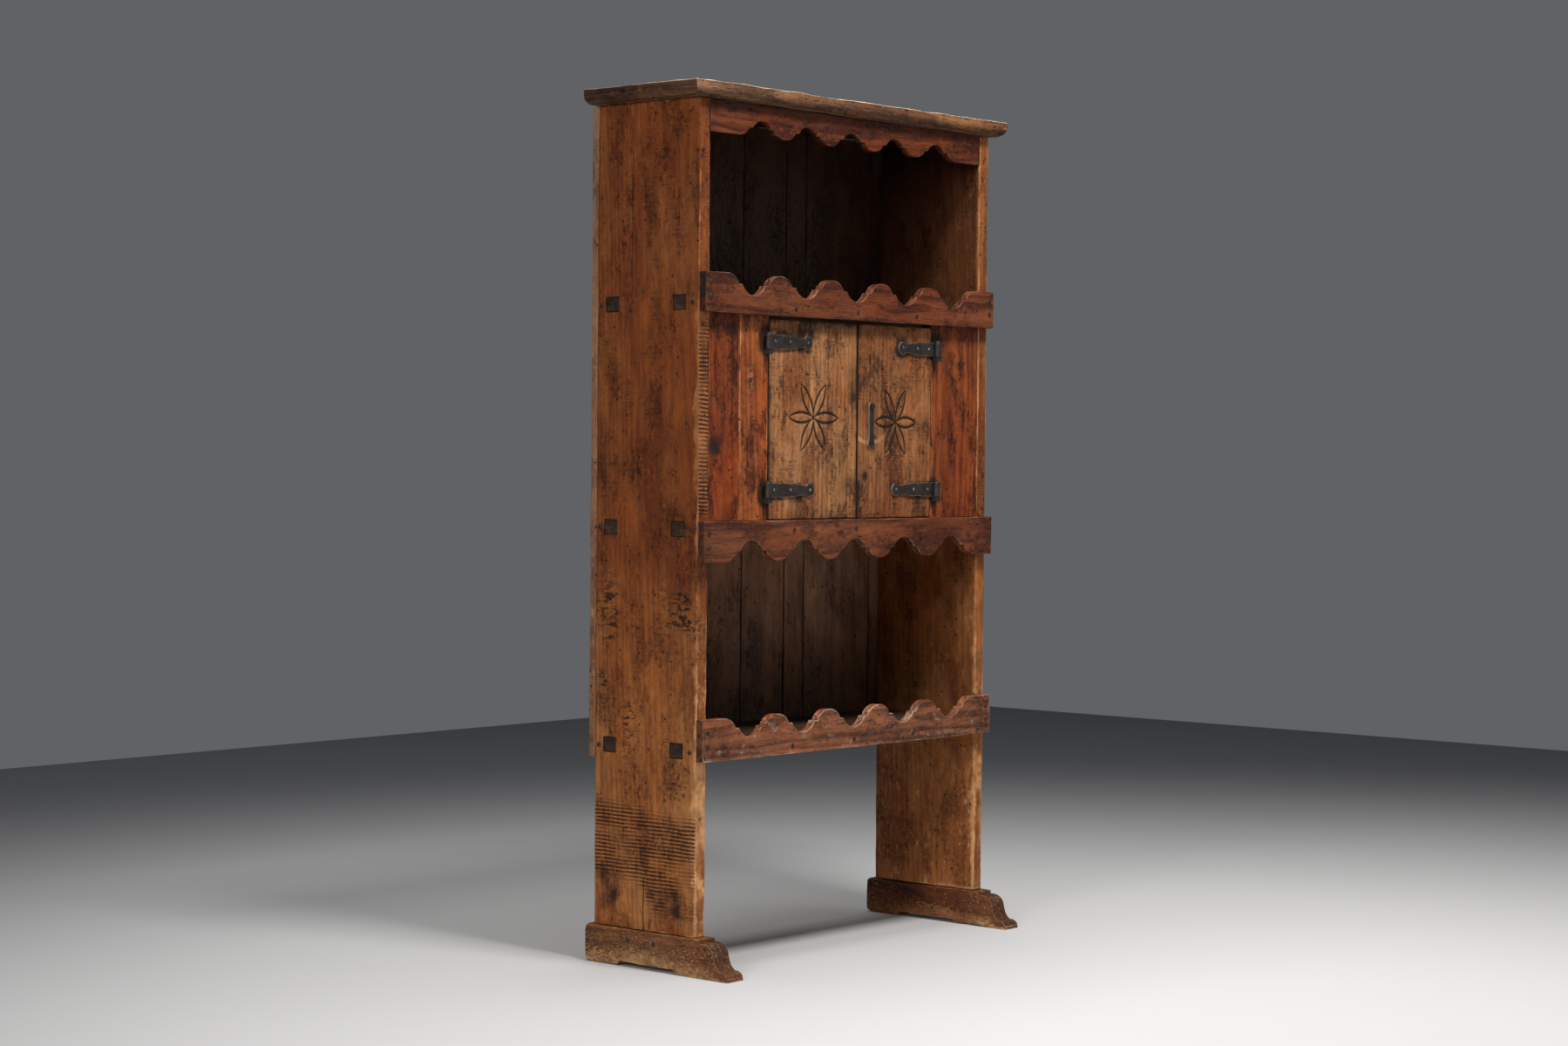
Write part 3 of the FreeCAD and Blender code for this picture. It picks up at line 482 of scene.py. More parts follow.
def wood(name, pale, dark, worn, streaks, dirt, hatch, chipped=0.75, flecks=0.0):
    """Old waxed pine: clouds, streaks, mottling, dirt, chips, pores, saw hatch and rubbed edges."""
    paint = Paint(name)
    grain = paint.layer("grain", "Vector")
    drift = paint.noise(grain, *DRIFT_NOISE, output="Color")
    drift = paint.vector("SUBTRACT", drift, (0.5, 0.5, 0.5))
    bent = paint.vector("ADD", grain, paint.stretch(drift, 0, DRIFT, DRIFT))
    radius = paint.add("VectorMath", {0: paint.stretch(bent, 0, 1, 1)}, "Value", operation="LENGTH")
    phase = paint.math("FRACT", paint.math("DIVIDE", radius, RING_WIDTH))
    ring = paint.times(paint.between(phase, 0.3, 0.88), paint.between(phase, 1.0, 0.9))
    streak = paint.noise(bent, *STREAK_NOISE)
    pore = paint.noise(bent, *PORE_NOISE)
    noises = [paint.noise(grain, *form) for form in GRAIN_NOISES.values()]
    cloud, blush, blot, mottle, chip, grit, comb, scrape, gouge, fleck = noises
    wear = paint.layer("wear")
    scuff = paint.layer("scuff")

    # Body of the wood
    shade = paint.total((streak, streaks), (cloud, 1.1 - streaks), (mottle, 0.4), (ring, 0.25 * streaks))
    colour = paint.mix(paint.between(shade, 0.62, 0.91), tone(*pale), tone(*dark))
    colour = paint.dim(colour, paint.between(blush, 0.42, 0.6), BLUSH)
    light = paint.total((mottle, 1.5), (cloud, 1.2), (chip, 0.8))
    span = {"From Min": 1.45, "From Max": 2.05, "To Min": 0.5, "To Max": 1.4}
    light = paint.add("MapRange", {"Value": light, **span})
    colour = paint.scaled(colour, light)
    worn = paint.scaled(tone(*worn)[:3], light)

    # Dirt in clouds, pores along the grain, chips, and saw hatch and cuts across it
    soiled = paint.between(paint.total((blot, 1), (mottle, 0.35), (chip, 0.25)), 0.8, 0.93)
    colour = paint.dim(colour, paint.times(soiled, dirt), DIRT)
    pores = paint.between(pore, 0.53, 0.67)
    colour = paint.dim(colour, paint.times(pores, 0.2 + 0.8 * streaks), DIRT)
    rough_spot = paint.between(paint.total((blot, 1), (cloud, 0.5)), 0.66, 0.84)
    chips = paint.times(paint.between(chip, 0.55, 0.63), paint.math("ADD", rough_spot, 0.2))
    colour = paint.dim(colour, paint.times(chips, chipped), DIRT)
    colour = paint.mix(paint.times(paint.between(chip, 0.44, 0.35), 0.4), colour, tone(*pale))
    combed = paint.times(paint.between(comb, 0.5, 0.61), paint.between(blot, 0.44, 0.6))
    combed = paint.times(combed, hatch)
    colour = paint.dim(colour, combed, DIRT)
    cuts = paint.times(paint.between(scrape, 0.6, 0.67), paint.math("ADD", rough_spot, 0.15))
    colour = paint.dim(colour, paint.times(cuts, chipped), DIRT)

    # Pale flecks and rubbed edges
    flecked = paint.between(paint.total((fleck, 1), (wear, 0.35), (blot, 0.4)), 0.74, 0.82)
    colour = paint.mix(paint.times(flecked, flecks), colour, worn)
    rubbed = paint.between(paint.total((wear, 0.8), (mottle, 1.2), (chip, 0.6)), 1.18, 1.5)
    colour = paint.mix(paint.times(rubbed, 0.75), colour, worn)

    # Saw kerfs, scribbled scuffs and worm holes
    kerf_line = paint.math("ABSOLUTE", paint.math("SUBTRACT", paint.math("FRACT", paint.layer("row")), 0.5))
    kerf_line = paint.times(paint.between(kerf_line, 0.17, 0.34), paint.layer("kerf"))
    kerf_line = paint.times(kerf_line, paint.between(mottle, 0.34, 0.5))
    colour = paint.dim(colour, paint.times(kerf_line, 0.95), KERF)
    torn = paint.between(paint.total((gouge, 1), (scrape, 0.4), (mottle, 0.3)), 0.86, 0.93)
    torn = paint.math("MINIMUM", paint.times(torn, scuff), 0.92)
    colour = paint.mix(torn, colour, SOOT_AND_SHADE)
    hole_cells = {"Vector": paint.stretch(grain, *HOLES_TO_A_METRE), "Scale": 1.0}
    hole_gap = paint.add("TexVoronoi", hole_cells, "Distance")
    hole_pick = paint.add("SeparateColor", {0: paint.add("TexVoronoi", hole_cells, "Color")})
    hole_chance = paint.between(paint.total((hole_pick, 1), (scuff, 0.4), (cloud, 0.3)), 0.98, 1.02)
    holes = paint.times(paint.between(hole_gap, 0.22, 0.12), hole_chance)
    colour = paint.mix(paint.times(holes, 0.9), colour, SOOT_AND_SHADE)

    # Redder tone, shade inside the case, and soot and painted shade over all
    colour = paint.dim(colour, paint.layer("tint"), TINT)
    colour = paint.dim(colour, paint.layer("cave"), CAVE)
    # The grime layer holds dirt and painted shade; this mask darkens both towards near black
    sooty_and_shaded = paint.between(paint.total((paint.layer("grime"), 0.9), (mottle, 0.8), (chip, 0.4)), 0.8, 1.5)
    colour = paint.mix(paint.times(sooty_and_shaded, 0.92), colour, SOOT_AND_SHADE)

    height = paint.total((mottle, 0.7), (streak, 0.3), (grit, 0.25), (pores, -0.3), (combed, -0.8),
                         (holes, -1.2), (chips, -0.5), (cuts, -0.4), (torn, -0.8), (kerf_line, -0.8),
                         (flecked, -0.2 * flecks))
    rough = paint.total((mottle, 0.35), (sooty_and_shaded, 0.15), (rubbed, 0.1), (grit, 0.2))
    paint.cover(colour, rough, smoothest=0.22, height=height, relief=1.8 * MM)
    paint.shader.inputs["Specular IOR Level"].default_value = 0.2
    return paint.material


def iron(name):
    """Hammered black iron with brown rust in its hollows, and pale rubbed high spots and rims that are partly
    painted highlights.
    """
    paint = Paint(name)
    place = paint.add("TexCoord", {}, "Object")
    beat = paint.noise(place, 130, 130, 2, 0.5)
    speck = paint.noise(place, 500, 500, 6, 0.7)
    patch = paint.noise(place, 45, 45, 6, 0.65)
    colour = paint.mix(paint.between(patch, 0.4, 0.62), tone(52, 46, 41), tone(29, 25, 22))
    rust = paint.between(paint.total((patch, 0.6), (speck, 0.5)), 0.56, 0.7)
    colour = paint.mix(paint.times(rust, 0.5), colour, tone(78, 55, 38))
    # Pale on worn rims, nail heads and high spots: rubbed metal, and painted highlights
    rubbed_and_highlight = paint.total((paint.layer("wear"), 0.75), (speck, 0.6), (beat, 0.5))
    rubbed_and_highlight = paint.between(rubbed_and_highlight, 0.9, 1.25)
    colour = paint.mix(paint.times(rubbed_and_highlight, 0.9), colour, tone(150, 138, 124))
    height = paint.total((beat, 1.0), (speck, 0.35))
    rough = paint.total((speck, 0.35), (patch, 0.2), (rubbed_and_highlight, -0.15))
    paint.cover(colour, rough, smoothest=0.26, height=height, relief=0.8 * MM)
    paint.shader.inputs["Metallic"].default_value = 0.4
    return paint.material


# Pale, dark and worn tones, then the shares of streaks, dirt, saw hatch, chips and pale flecks
WOODS = {
    "side": ((188, 124, 69), (116, 67, 33), (198, 146, 98), 0.2, 0.4, 0.35, 0.7),
    "front": ((184, 101, 52), (94, 43, 20), (186, 124, 78), 0.28, 0.85, 0.2),
    "rail": ((164, 103, 69), (82, 46, 31), (170, 142, 124), 0.4, 0.6, 0.1),
    "door": ((188, 131, 84), (112, 68, 40), (198, 152, 110), 0.25, 0.75, 0.5, 0.7),
    "top": ((152, 112, 80), (90, 61, 43), (222, 194, 158), 0.6, 0.4, 0.05, 0.3),
    "foot": ((136, 84, 49), (66, 37, 21), (194, 148, 100), 0.3, 0.5, 0.05, 0.6, 0.6),
    "inner": ((176, 132, 102), (104, 77, 60), (150, 110, 80), 0.15, 0.5, 0.05, 0.3),
}
FINISH = {f"{kind}_wood": wood(f"{kind}_pine", *form) for kind, form in WOODS.items()}
FINISH["forged_iron"] = iron("hammered_iron")


# Marks of age

CRACK_WAVER, CRACK_TAPER = 1.6 * MM, 40 * MM
KERF_WAVER, KERF_TREMBLE = 2.5 * MM, MM
# How dark cracks and cut grooves are painted: dirt in them and painted shade of their hollows
CUT_DIRT_AND_SHADE = 1.4


def mark(apply):
    """Make a function give a mark: its settings come first, and the surface later."""
    def make(*settings, **named):
        return lambda surface: apply(surface, *settings, **named)
    return make


@mark
def crack(surface, face, across, start, end, width, depth, seed):
    """A split up a face across X, wavering along the grain and opening towards its middle."""
    up = surface.flat[:, Z]
    line = np.zeros_like(surface.flat)
    line[:, Z] = up
    path = across + CRACK_WAVER * wander(line, 0.06, seed)
    open_share = smooth(start, start + CRACK_TAPER, up) * smooth(end, end - CRACK_TAPER, up)
    pull = surface.on(X, face) * open_share * bell(surface.flat[:, Y] - path, width)
    surface.points[:, X] += surface.inward(X, face) * depth * pull
    # The split is painted dark: dirt in it and painted shade of its hollow
    surface.grime += CUT_DIRT_AND_SHADE * pull


@mark
def soil(surface, axis, face, rows, layer="grime", depth=20 * MM):
    """Ragged patches in a layer. Rows: place across and up, half width and height, amount, seed."""
    for across, up, half_width, half_height, amount, seed in rows:
        centre = (face, across, up) if axis == X else (across, face, up)
        size = (depth, half_width, half_height) if axis == X else (half_width, depth, half_height)
        away = np.linalg.norm((surface.flat - centre) / size, axis=1)
        ragged = 0.35 * wander(surface.flat, 0.03, seed, 3)
        getattr(surface, layer)[:] += amount * np.clip(1.1 - away + ragged, 0, 1)


@mark
def saw_marks(surface, axis, face, spans, pitch, seed, depth):
    """Saw kerfs up a face; spans gives where they start and end at both its edges."""
    up = surface.flat[:, Z]
    across = Y if axis == X else X
    low, high = surface.low[across], surface.high[across]
    share = smooth(0.4, 0.6, (surface.flat[:, across] - low) / (high - low))
    start, end = (near + (far - near) * share for near, far in zip(*spans))
    slow = wander(surface.flat, 0.1, seed)
    quick = wander(surface.flat, 0.025, seed + 4)
    row = (up + KERF_WAVER * slow + KERF_TREMBLE * quick) / pitch
    extent = smooth(start - 0.01, start + 0.03, up) * smooth(end + 0.01, end - 0.03, up)
    ragged = smooth(-0.8, 0.1, wander(surface.flat, (0.1, 0.08, 0.03), seed + 2, 3))
    here = surface.on(axis, face)
    mask = here * extent * ragged
    line = smooth(0.3, 0.42, np.abs(row - np.floor(row) - 0.5))
    surface.row[here] = row[here]
    surface.kerf[here] = mask[here]
    surface.points[:, axis] += surface.inward(axis, face) * depth * mask * line


@mark
def stained_round(surface, node, amount, reach):
    """Dark stain that an iron fitting leaves in the wood round it."""
    low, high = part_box(node)
    gap = np.zeros(len(surface.flat))
    for axis in (X, Z):
        place = surface.flat[:, axis]
        gap = np.hypot(gap, np.clip(np.maximum(low[axis] - place, place - high[axis]), 0, None))
    cloudy = np.clip(0.7 + 0.7 * surface.noise(0.02, STAINS, 3), 0, 1.4)
    surface.grime += amount * bell(gap, reach) * cloudy


@mark
def rub(surface, axis, value, amount):
    """Wear spread over a whole face."""
    surface.wear += amount * surface.on(axis, value)


@mark
def dirt_and_shade_at(surface, axis, value, amount, reach):
    """Darkening of everything close to a plane: dirt in some places, painted shade in others."""
    surface.grime += amount * bell(surface.flat[:, axis] - value, reach)


@mark
def grubby(surface, amount, reach=25 * MM):
    """Hand dirt that thins out from the edges."""
    cloudy = np.clip(0.5 + 0.8 * surface.noise(0.06, HANDS, 3), 0, 1.4)
    surface.grime += amount * np.exp(-surface.edge_gap() / reach) * cloudy


@mark
def redden(surface, amount, axis=Z, low=-2.0, high=-1.0):
    """A redder, darker tone, all over or growing between two places along an axis."""
    surface.tint += amount * smooth(low, high, surface.flat[:, axis])


def sheltered(surface):
    """No wear on a side's back edges, which the back boards cover."""
    surface.wear *= smooth(BACK - 4 * MM, BACK - 12 * MM, surface.flat[:, Y])


# Carcass

LEFT_FACE = -OUTER
EDGE_MIDDLE = 449 * MM
KERF_PITCH, EDGE_KERF_PITCH = 7.5 * MM, 8 * MM
UPPER_CRACK, LOWER_CRACK = 81 * MM, 39 * MM
CRACK_LINES = np.linspace(-3 * MM, 3 * MM, 9)
TENON_THINNER, TENON_NARROWER = 0.95, 0.96
TENON_SUNK, TENON_UNEVEN = 1.2 * MM, 0.7 * MM


def tenon_boxes(sign):
    """Places where the shelves' tenons pass through a side, as low and high corners."""
    boxes = []
    inner, outer = sorted((sign * (INNER - MM), sign * (OUTER + MM)))
    for node in SHELF_NODES:
        low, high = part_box(node)
        for near, far in TENONS:
            boxes.append(((inner, near, low.z), (outer, far, high.z)))
    return boxes


def side(node, sign, seed, marks, knots, extra_y=(), extra_z=()):
    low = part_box(node)[0]
    board(node, Z, Y, seed, low=(low.x, low.y, FOOT_TOP), extra=((), extra_y, extra_z),
          empty=tenon_boxes(sign), marks=marks, knots=knots, bite=0.9 * MM, round_by=2.2 * MM)


LEFT_SCUFFS = (
    (0.14, 0.715, 0.036, 0.09, 1.6, 7),
    (-0.05, 0.71, 0.07, 0.06, 1.5, 8),
    (0.08, 0.49, 0.025, 0.07, 1.4, 9),
    (0.156, 0.567, 0.016, 0.025, 1.5, 13),
    (0.0, 1.614, 0.03, 0.02, 0.8, 14),
)
LEFT_DIRT = (
    (0.14, 0.13, 0.05, 0.05, 0.55, 15),
    (-0.02, 0.14, 0.05, 0.05, 0.55, 16),
    (0.16, 1.32, 0.05, 0.05, 0.5, 10),
    (0.16, 0.98, 0.02, 0.06, 0.5, 17),
    (-0.083, 1.70, 0.005, 0.006, 1.6, 18),
    (-0.085, 1.683, 0.005, 0.006, 1.6, 19),
    (0.043, 0.439, 0.005, 0.006, 1.6, 20),
    (0.09, 0.25, 0.09, 0.03, 0.45, 23),
    (-0.05, 0.235, 0.06, 0.025, 0.5, 24),
    (-0.055, 0.155, 0.05, 0.025, 0.5, 25),
    (0.15, 0.185, 0.04, 0.03, 0.6, 26),
    (0.02, 0.13, 0.02, 0.06, 0.45, 27),
    (0.15, 1.60, 0.05, 0.16, 0.3, 28),
    (-0.04, 1.18, 0.06, 0.14, 0.28, 29),
    (0.12, 0.86, 0.06, 0.12, 0.32, 30),
    (-0.06, 0.56, 0.05, 0.08, 0.3, 31),
)
LEFT_EDGE_WEAR = ((-EDGE_MIDDLE, 1.09, 0.05, 0.3, 0.95, 32), (-EDGE_MIDDLE, 0.3, 0.05, 0.45, 0.75, 33))
side("left_side_board", -1, 11, [
    crack(LEFT_FACE, UPPER_CRACK, start=1.345, end=1.72, width=0.9 * MM, depth=4 * MM, seed=3),
    crack(LEFT_FACE, LOWER_CRACK, start=0.04, end=0.2, width=1.3 * MM, depth=5 * MM, seed=4),
    saw_marks(X, LEFT_FACE, ((0.105, 0.315), (0.165, 0.335)), KERF_PITCH, seed=5, depth=0.5 * MM),
    saw_marks(Y, FRONT, ((0.88, 1.29), (0.88, 1.29)), EDGE_KERF_PITCH, seed=6, depth=0.3 * MM),
    soil(X, LEFT_FACE, LEFT_SCUFFS, "scuff"),
    soil(X, LEFT_FACE, LEFT_DIRT),
    soil(Y, FRONT, LEFT_EDGE_WEAR, "wear"),
    sheltered,
    redden(0.9, Z, 0.3, 0.95),
    dirt_and_shade_at(Y, BACK, 0.5, 2.5 * MM),
], [(0.12, -0.05, 0.022), (0.14, 0.12, 0.02), (1.05, 0.03, 0.008)],
    [*(UPPER_CRACK + CRACK_LINES), *(LOWER_CRACK + CRACK_LINES)],
    np.arange(100 * MM, 340 * MM, KERF_PITCH / 3))
side("right_side_board", 1, 12, [
    soil(X, INNER, ((0.05, 1.45, 0.05, 0.03, 0.4, 21), (-0.02, 0.25, 0.05, 0.05, 0.6, 22))),
    soil(Y, FRONT, ((EDGE_MIDDLE, 0.3, 0.05, 0.5, 0.45, 47),), "wear"),
    # Inner face paled all over: partly wear, partly painted light that brightens this shaded face
    rub(X, INNER, 0.3),
    sheltered,
    redden(0.5, Z, 0.3, 0.9),
], [(1.42, -0.06, 0.008), (0.26, 0.03, 0.012)])


def tenon_ends(surface):
    """Tenons a little loose in their mortises, their ends dark with soot just below the sides' faces."""
    x = surface.flat[:, X]
    out = np.abs(x) > INNER + 0.5 * MM
    middle_z = (surface.low[Z] + surface.high[Z]) / 2
    surface.points[out, Z] = middle_z + (surface.flat[out, Z] - middle_z) * TENON_THINNER
    for near, far in TENONS:
        mine = out & (surface.flat[:, Y] > near - MM) & (surface.flat[:, Y] < far + MM)
        middle = (near + far) / 2
        surface.points[mine, Y] = middle + (surface.flat[mine, Y] - middle) * TENON_NARROWER
    sunk = TENON_SUNK + TENON_UNEVEN * surface.noise(0.012, 0)
    end = np.abs(x) > OUTER - 0.1 * MM
    surface.points[end, X] -= (np.sign(x) * sunk)[end]
    surface.grime[out] += np.where(end, 0.9, 1.0)[out]


def shelf(node, seed):
    """Shelf with its through tenons; what lies beside them is cut out of its box."""
    low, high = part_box(node)
    beyond = 10 * MM
    edges = [low.y - beyond, *itertools.chain(*TENONS), high.y + beyond]
    empty = []
    for sign in (-1, 1):
        inner, outer = sorted((sign * INNER, sign * (OUTER + beyond)))
        for start, end in zip(edges[::2], edges[1::2]):
            empty.append(((inner, start, low.z - beyond), (outer, end, high.z + beyond)))
    # The shelves' top faces are painted dark as painted shade, for the shadow that lies on them inside the
    # case
    marks = [tenon_ends, dirt_and_shade_at(Z, high.z, 0.7, 3 * MM)]
    board(node, X, Y, seed, step=14 * MM, empty=empty, marks=marks, bite=0.2 * MM)


for number, node in enumerate(SHELF_NODES):
    shelf(node, 31 + number)

for number in range(1, 7):
    node = f"back_board_{number}"
    edges = [corner.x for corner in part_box(node)]
    marks = [rub(X, -OUTER, 0.4), rub(X, OUTER, 0.4)]
    marks.append(soil(Y, BACK, ((0, 0.45, 0.6, 0.2, 0.55, 46),), depth=30 * MM))
    marks += [dirt_and_shade_at(X, edge, 0.8, 2.5 * MM) for edge in edges if abs(edge) < INNER]
    board(node, Z, X, 40 + number, step=14 * MM, bite=0.8 * MM, round_by=2.5 * MM, wear_reach=0.1 * MM,
          marks=marks)

OVOLO = 21 * MM


def top_board(node, seed):
    """Top with its ovolo front and ends, its arris chipped and worn and paled partly as a painted highlight,
    and its ovolo painted darker towards the bottom as painted shade.
    """
    low, high = corners(node)
    curve = [OVOLO * (1 - math.cos(turn)) for turn in np.linspace(0.15, math.pi / 2, 9)]
    extra = ([*(low[X] + curve), *(high[X] - curve)], low[Y] + curve, ())
    surface = plain_box(node, seed, (9 * MM, 9 * MM, 8 * MM), extra)
    surface.round_edges(surface.uneven(2.5 * MM, share=1, size=0.05, offset=0, most=2.2))
    x, y, z = surface.points.T
    rise = np.zeros(len(x))
    for gap in (x - low[X], high[X] - x, y - low[Y]):
        inside = np.clip(OVOLO - gap, 0, OVOLO)
        rise = np.maximum(rise, OVOLO - np.sqrt(OVOLO ** 2 - inside ** 2))
    lift = (z - low[Z]) / (high[Z] - low[Z])
    surface.points[:, Z] += rise * (1 - lift)
    surface.erode(X, 1.6 * MM)
    x, y, z = surface.flat.T
    end_gap = np.minimum(x - low[X], high[X] - x)
    front_gap = y - low[Y]
    rim = np.minimum(end_gap, front_gap)
    chipped = np.clip(0.3 + surface.noise((0.07, 0.07, 0.5), 3, 3), 0, 1.2)
    surface.points[:, Z] -= 1.4 * MM * chipped * bell(rim, 14 * MM) * lift
    surface.points[:, Z] -= 0.8 * MM * lift * np.clip(0.5 + surface.noise(0.1, 4), 0, 1.5)
    at_end = (end_gap < OVOLO) & (end_gap < front_gap)
    grain = np.where(at_end[:, None], grain_layer(surface, Y, Z, []), grain_layer(surface, X, Y, []))
    # Ends a little dirtier; the ovolo painted darker towards its bottom as painted shade
    surface.grime += 0.1 * at_end + 0.4 * (1 - lift) * (rim < OVOLO)
    surface.tint += 0.3 * at_end
    # Upper arris paled: wear, and a painted highlight along it
    arris = bell(high[Z] - z, 3.5 * MM) * bell(rim, 4 * MM)
    surface.wear += arris * (1.2 + 0.6 * surface.noise(0.05, 7, 3))
    finish_board(node, surface, X, Y, [
        crack(low[X], 0.075, low[Z] - 0.05, high[Z] + 0.05, width=1.2 * MM, depth=3 * MM, seed=2),
        soil(X, low[X], ((0.1, 1.74, 0.1, 0.05, 0.35, 5),), depth=50 * MM),
    ], [], 0.1 * MM, grain)


top_board("top_board", 51)


# Scalloped rails

SCALLOPS = 5
STEP_WIDTH = 11 * MM
STEP_DROP = 2.5 * MM
DOME_FLAT = 5 * MM
RAIL_PITCH, RAIL_DEPTH = 161 * MM, 42 * MM
APRON_PITCH, APRON_DEPTH = 140 * MM, 32 * MM
RAIL_SOIL_DEPTH = 50 * MM


def scallop(x, pitch, depth):
    """How far the row of scallops is cut in at x, and the places where its outline turns."""
    middle = np.clip(np.round(x / pitch), -(SCALLOPS // 2), SCALLOPS // 2) * pitch
    away = np.abs(x - middle)
    dome_end = (pitch - DOME_FLAT) / 2
    valley = (pitch - 2 * STEP_WIDTH) / 4
    step = valley + STEP_WIDTH
    step_depth = depth / 2
    dome_depth = step_depth - STEP_DROP
    valley_radius = (valley ** 2 + step_depth ** 2) / (2 * step_depth)
    dome_width = dome_end - step
    dome_radius = (dome_width ** 2 + dome_depth ** 2) / (2 * dome_depth)
    in_valley = depth - valley_radius + np.sqrt(valley_radius ** 2 - np.clip(away, 0, valley) ** 2)
    on_dome = dome_radius - np.sqrt(dome_radius ** 2 - np.clip(dome_end - away, 0, dome_width) ** 2)
    cut = np.where(away < valley, in_valley, np.where(away < step, step_depth, on_dome))
    return cut, [valley, step - 0.25 * MM, step + 0.25 * MM, dome_end]


def rail(node, seed, pitch, depth, upwards, knots, marks):
    """Scalloped rail: a plain board whose upper or lower edge follows the scallops."""
    low, high = corners(node)
    turns = scallop(np.zeros(1), pitch, depth)[1]
    centres = (np.arange(SCALLOPS) - SCALLOPS // 2) * pitch
    extra = [centre + way * turn for centre in centres for turn in turns for way in (-1, 1)]
    surface = plain_box(node, seed, (4 * MM, 6 * MM, 7 * MM), (extra, (), ()))
    surface.round_edges(surface.uneven(1.3 * MM, share=0.8, size=0.03))
    surface.erode(X, 0.4 * MM)
    surface.dent(0.35 * MM, (0.09, 0.03, 0.025))
    cut = scallop(surface.points[:, X], pitch, depth)[0]
    share = (surface.points[:, Z] - low[Z]) / (high[Z] - low[Z])
    surface.points[:, Z] += -cut * share if upwards else cut * (1 - share)
    surface.wear += 0.4 * surface.on(Z, (high if upwards else low)[Z]) * smooth(3 * MM, 9 * MM, cut)
    ends = [dirt_and_shade_at(X, end, 0.6, 2 * MM) for end in (low[X], high[X])]
    finish_board(node, surface, X, Z, [*ends, *marks], knots, 1.6 * MM)


def rail_soil(*rows):
    """Patches of dirt on a rail's front."""
    return soil(Y, FRONT, rows, depth=RAIL_SOIL_DEPTH)


rail("upper_gallery_rail", 61, RAIL_PITCH, RAIL_DEPTH, True, [(-0.30, 1.33, 0.006), (0.33, 1.345, 0.009)], [
    redden(0.85),
    rail_soil((-0.43, 1.34, 0.06, 0.06, 0.5, 51), (0.40, 1.34, 0.07, 0.03, 0.5, 52)),
])
rail("middle_apron_rail", 62, RAIL_PITCH, RAIL_DEPTH, False, [(-0.05, 0.86, 0.006), (0.38, 0.85, 0.01)], [
    redden(0.65),
    rail_soil((-0.02, 0.85, 0.05, 0.03, 0.55, 53), (0.40, 0.85, 0.07, 0.03, 0.5, 54),
              (-0.42, 0.86, 0.05, 0.03, 0.4, 55)),
])
rail("lower_gallery_rail", 63, RAIL_PITCH, RAIL_DEPTH, True, [(0.12, 0.45, 0.007)], [
    rub(Y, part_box("lower_gallery_rail")[0].y, 0.3),
    rail_soil((0.05, 0.45, 0.07, 0.03, 0.5, 56), (-0.4, 0.46, 0.06, 0.03, 0.4, 57)),
])
rail("top_apron", 64, APRON_PITCH, APRON_DEPTH, False, [(-0.38, 1.695, 0.009), (-0.36, 1.705, 0.007)], [
    redden(1.0),
    dirt_and_shade_at(Z, CASE_TOP, 0.45, 8 * MM),
])


# Feet, with their outlines in mm: reach is forward of the side's front edge

# Where each stretch of the toe ends, then its level, or its arc's ends, radius and whether it is hollow
TOE = (
    (20, 76.0),
    (32, 69.0),
    (57, (32, 69), (57, 45), 27, False),
    (74, (57, 45), (74, 18), 34, True),
    (79, 18.0),
    (96, (79, 18), (95, 5), 19, False),
)
TOE_TURNS = (19.8, 20.2, 31.8, 32.2, 57, 73.8, 74.2, 78.8, 79.2)
TOE_START, TOE_END = 20, 95
RELIEF_START, RELIEF_END, RELIEF_SLOPE, RELIEF_HEIGHT = 46, 204, 7, 8


def arc_height(reach, start, end, radius, hollow):
    """Height at a reach on the arc between two points of the foot's outline."""
    start, end = np.array(start), np.array(end)
    chord = end - start
    half = np.linalg.norm(chord) / 2
    normal = np.array([-chord[1], chord[0]]) / (2 * half) * (1 if hollow else -1)
    centre = (start + end) / 2 + normal * math.sqrt(radius ** 2 - half ** 2)
    rise = np.sqrt(np.clip(radius ** 2 - (reach - centre[0]) ** 2, 0, None))
    return centre[1] - rise if hollow else centre[1] + rise


def foot_top(reach):
    """Height of the foot's upper side at a reach."""
    height = np.zeros_like(reach)
    done = np.zeros(len(reach), bool)
    for end, *form in TOE:
        here = ~done & (reach <= end)
        height[here] = form[0] if len(form) == 1 else arc_height(reach[here], *form)
        done |= here
    return height


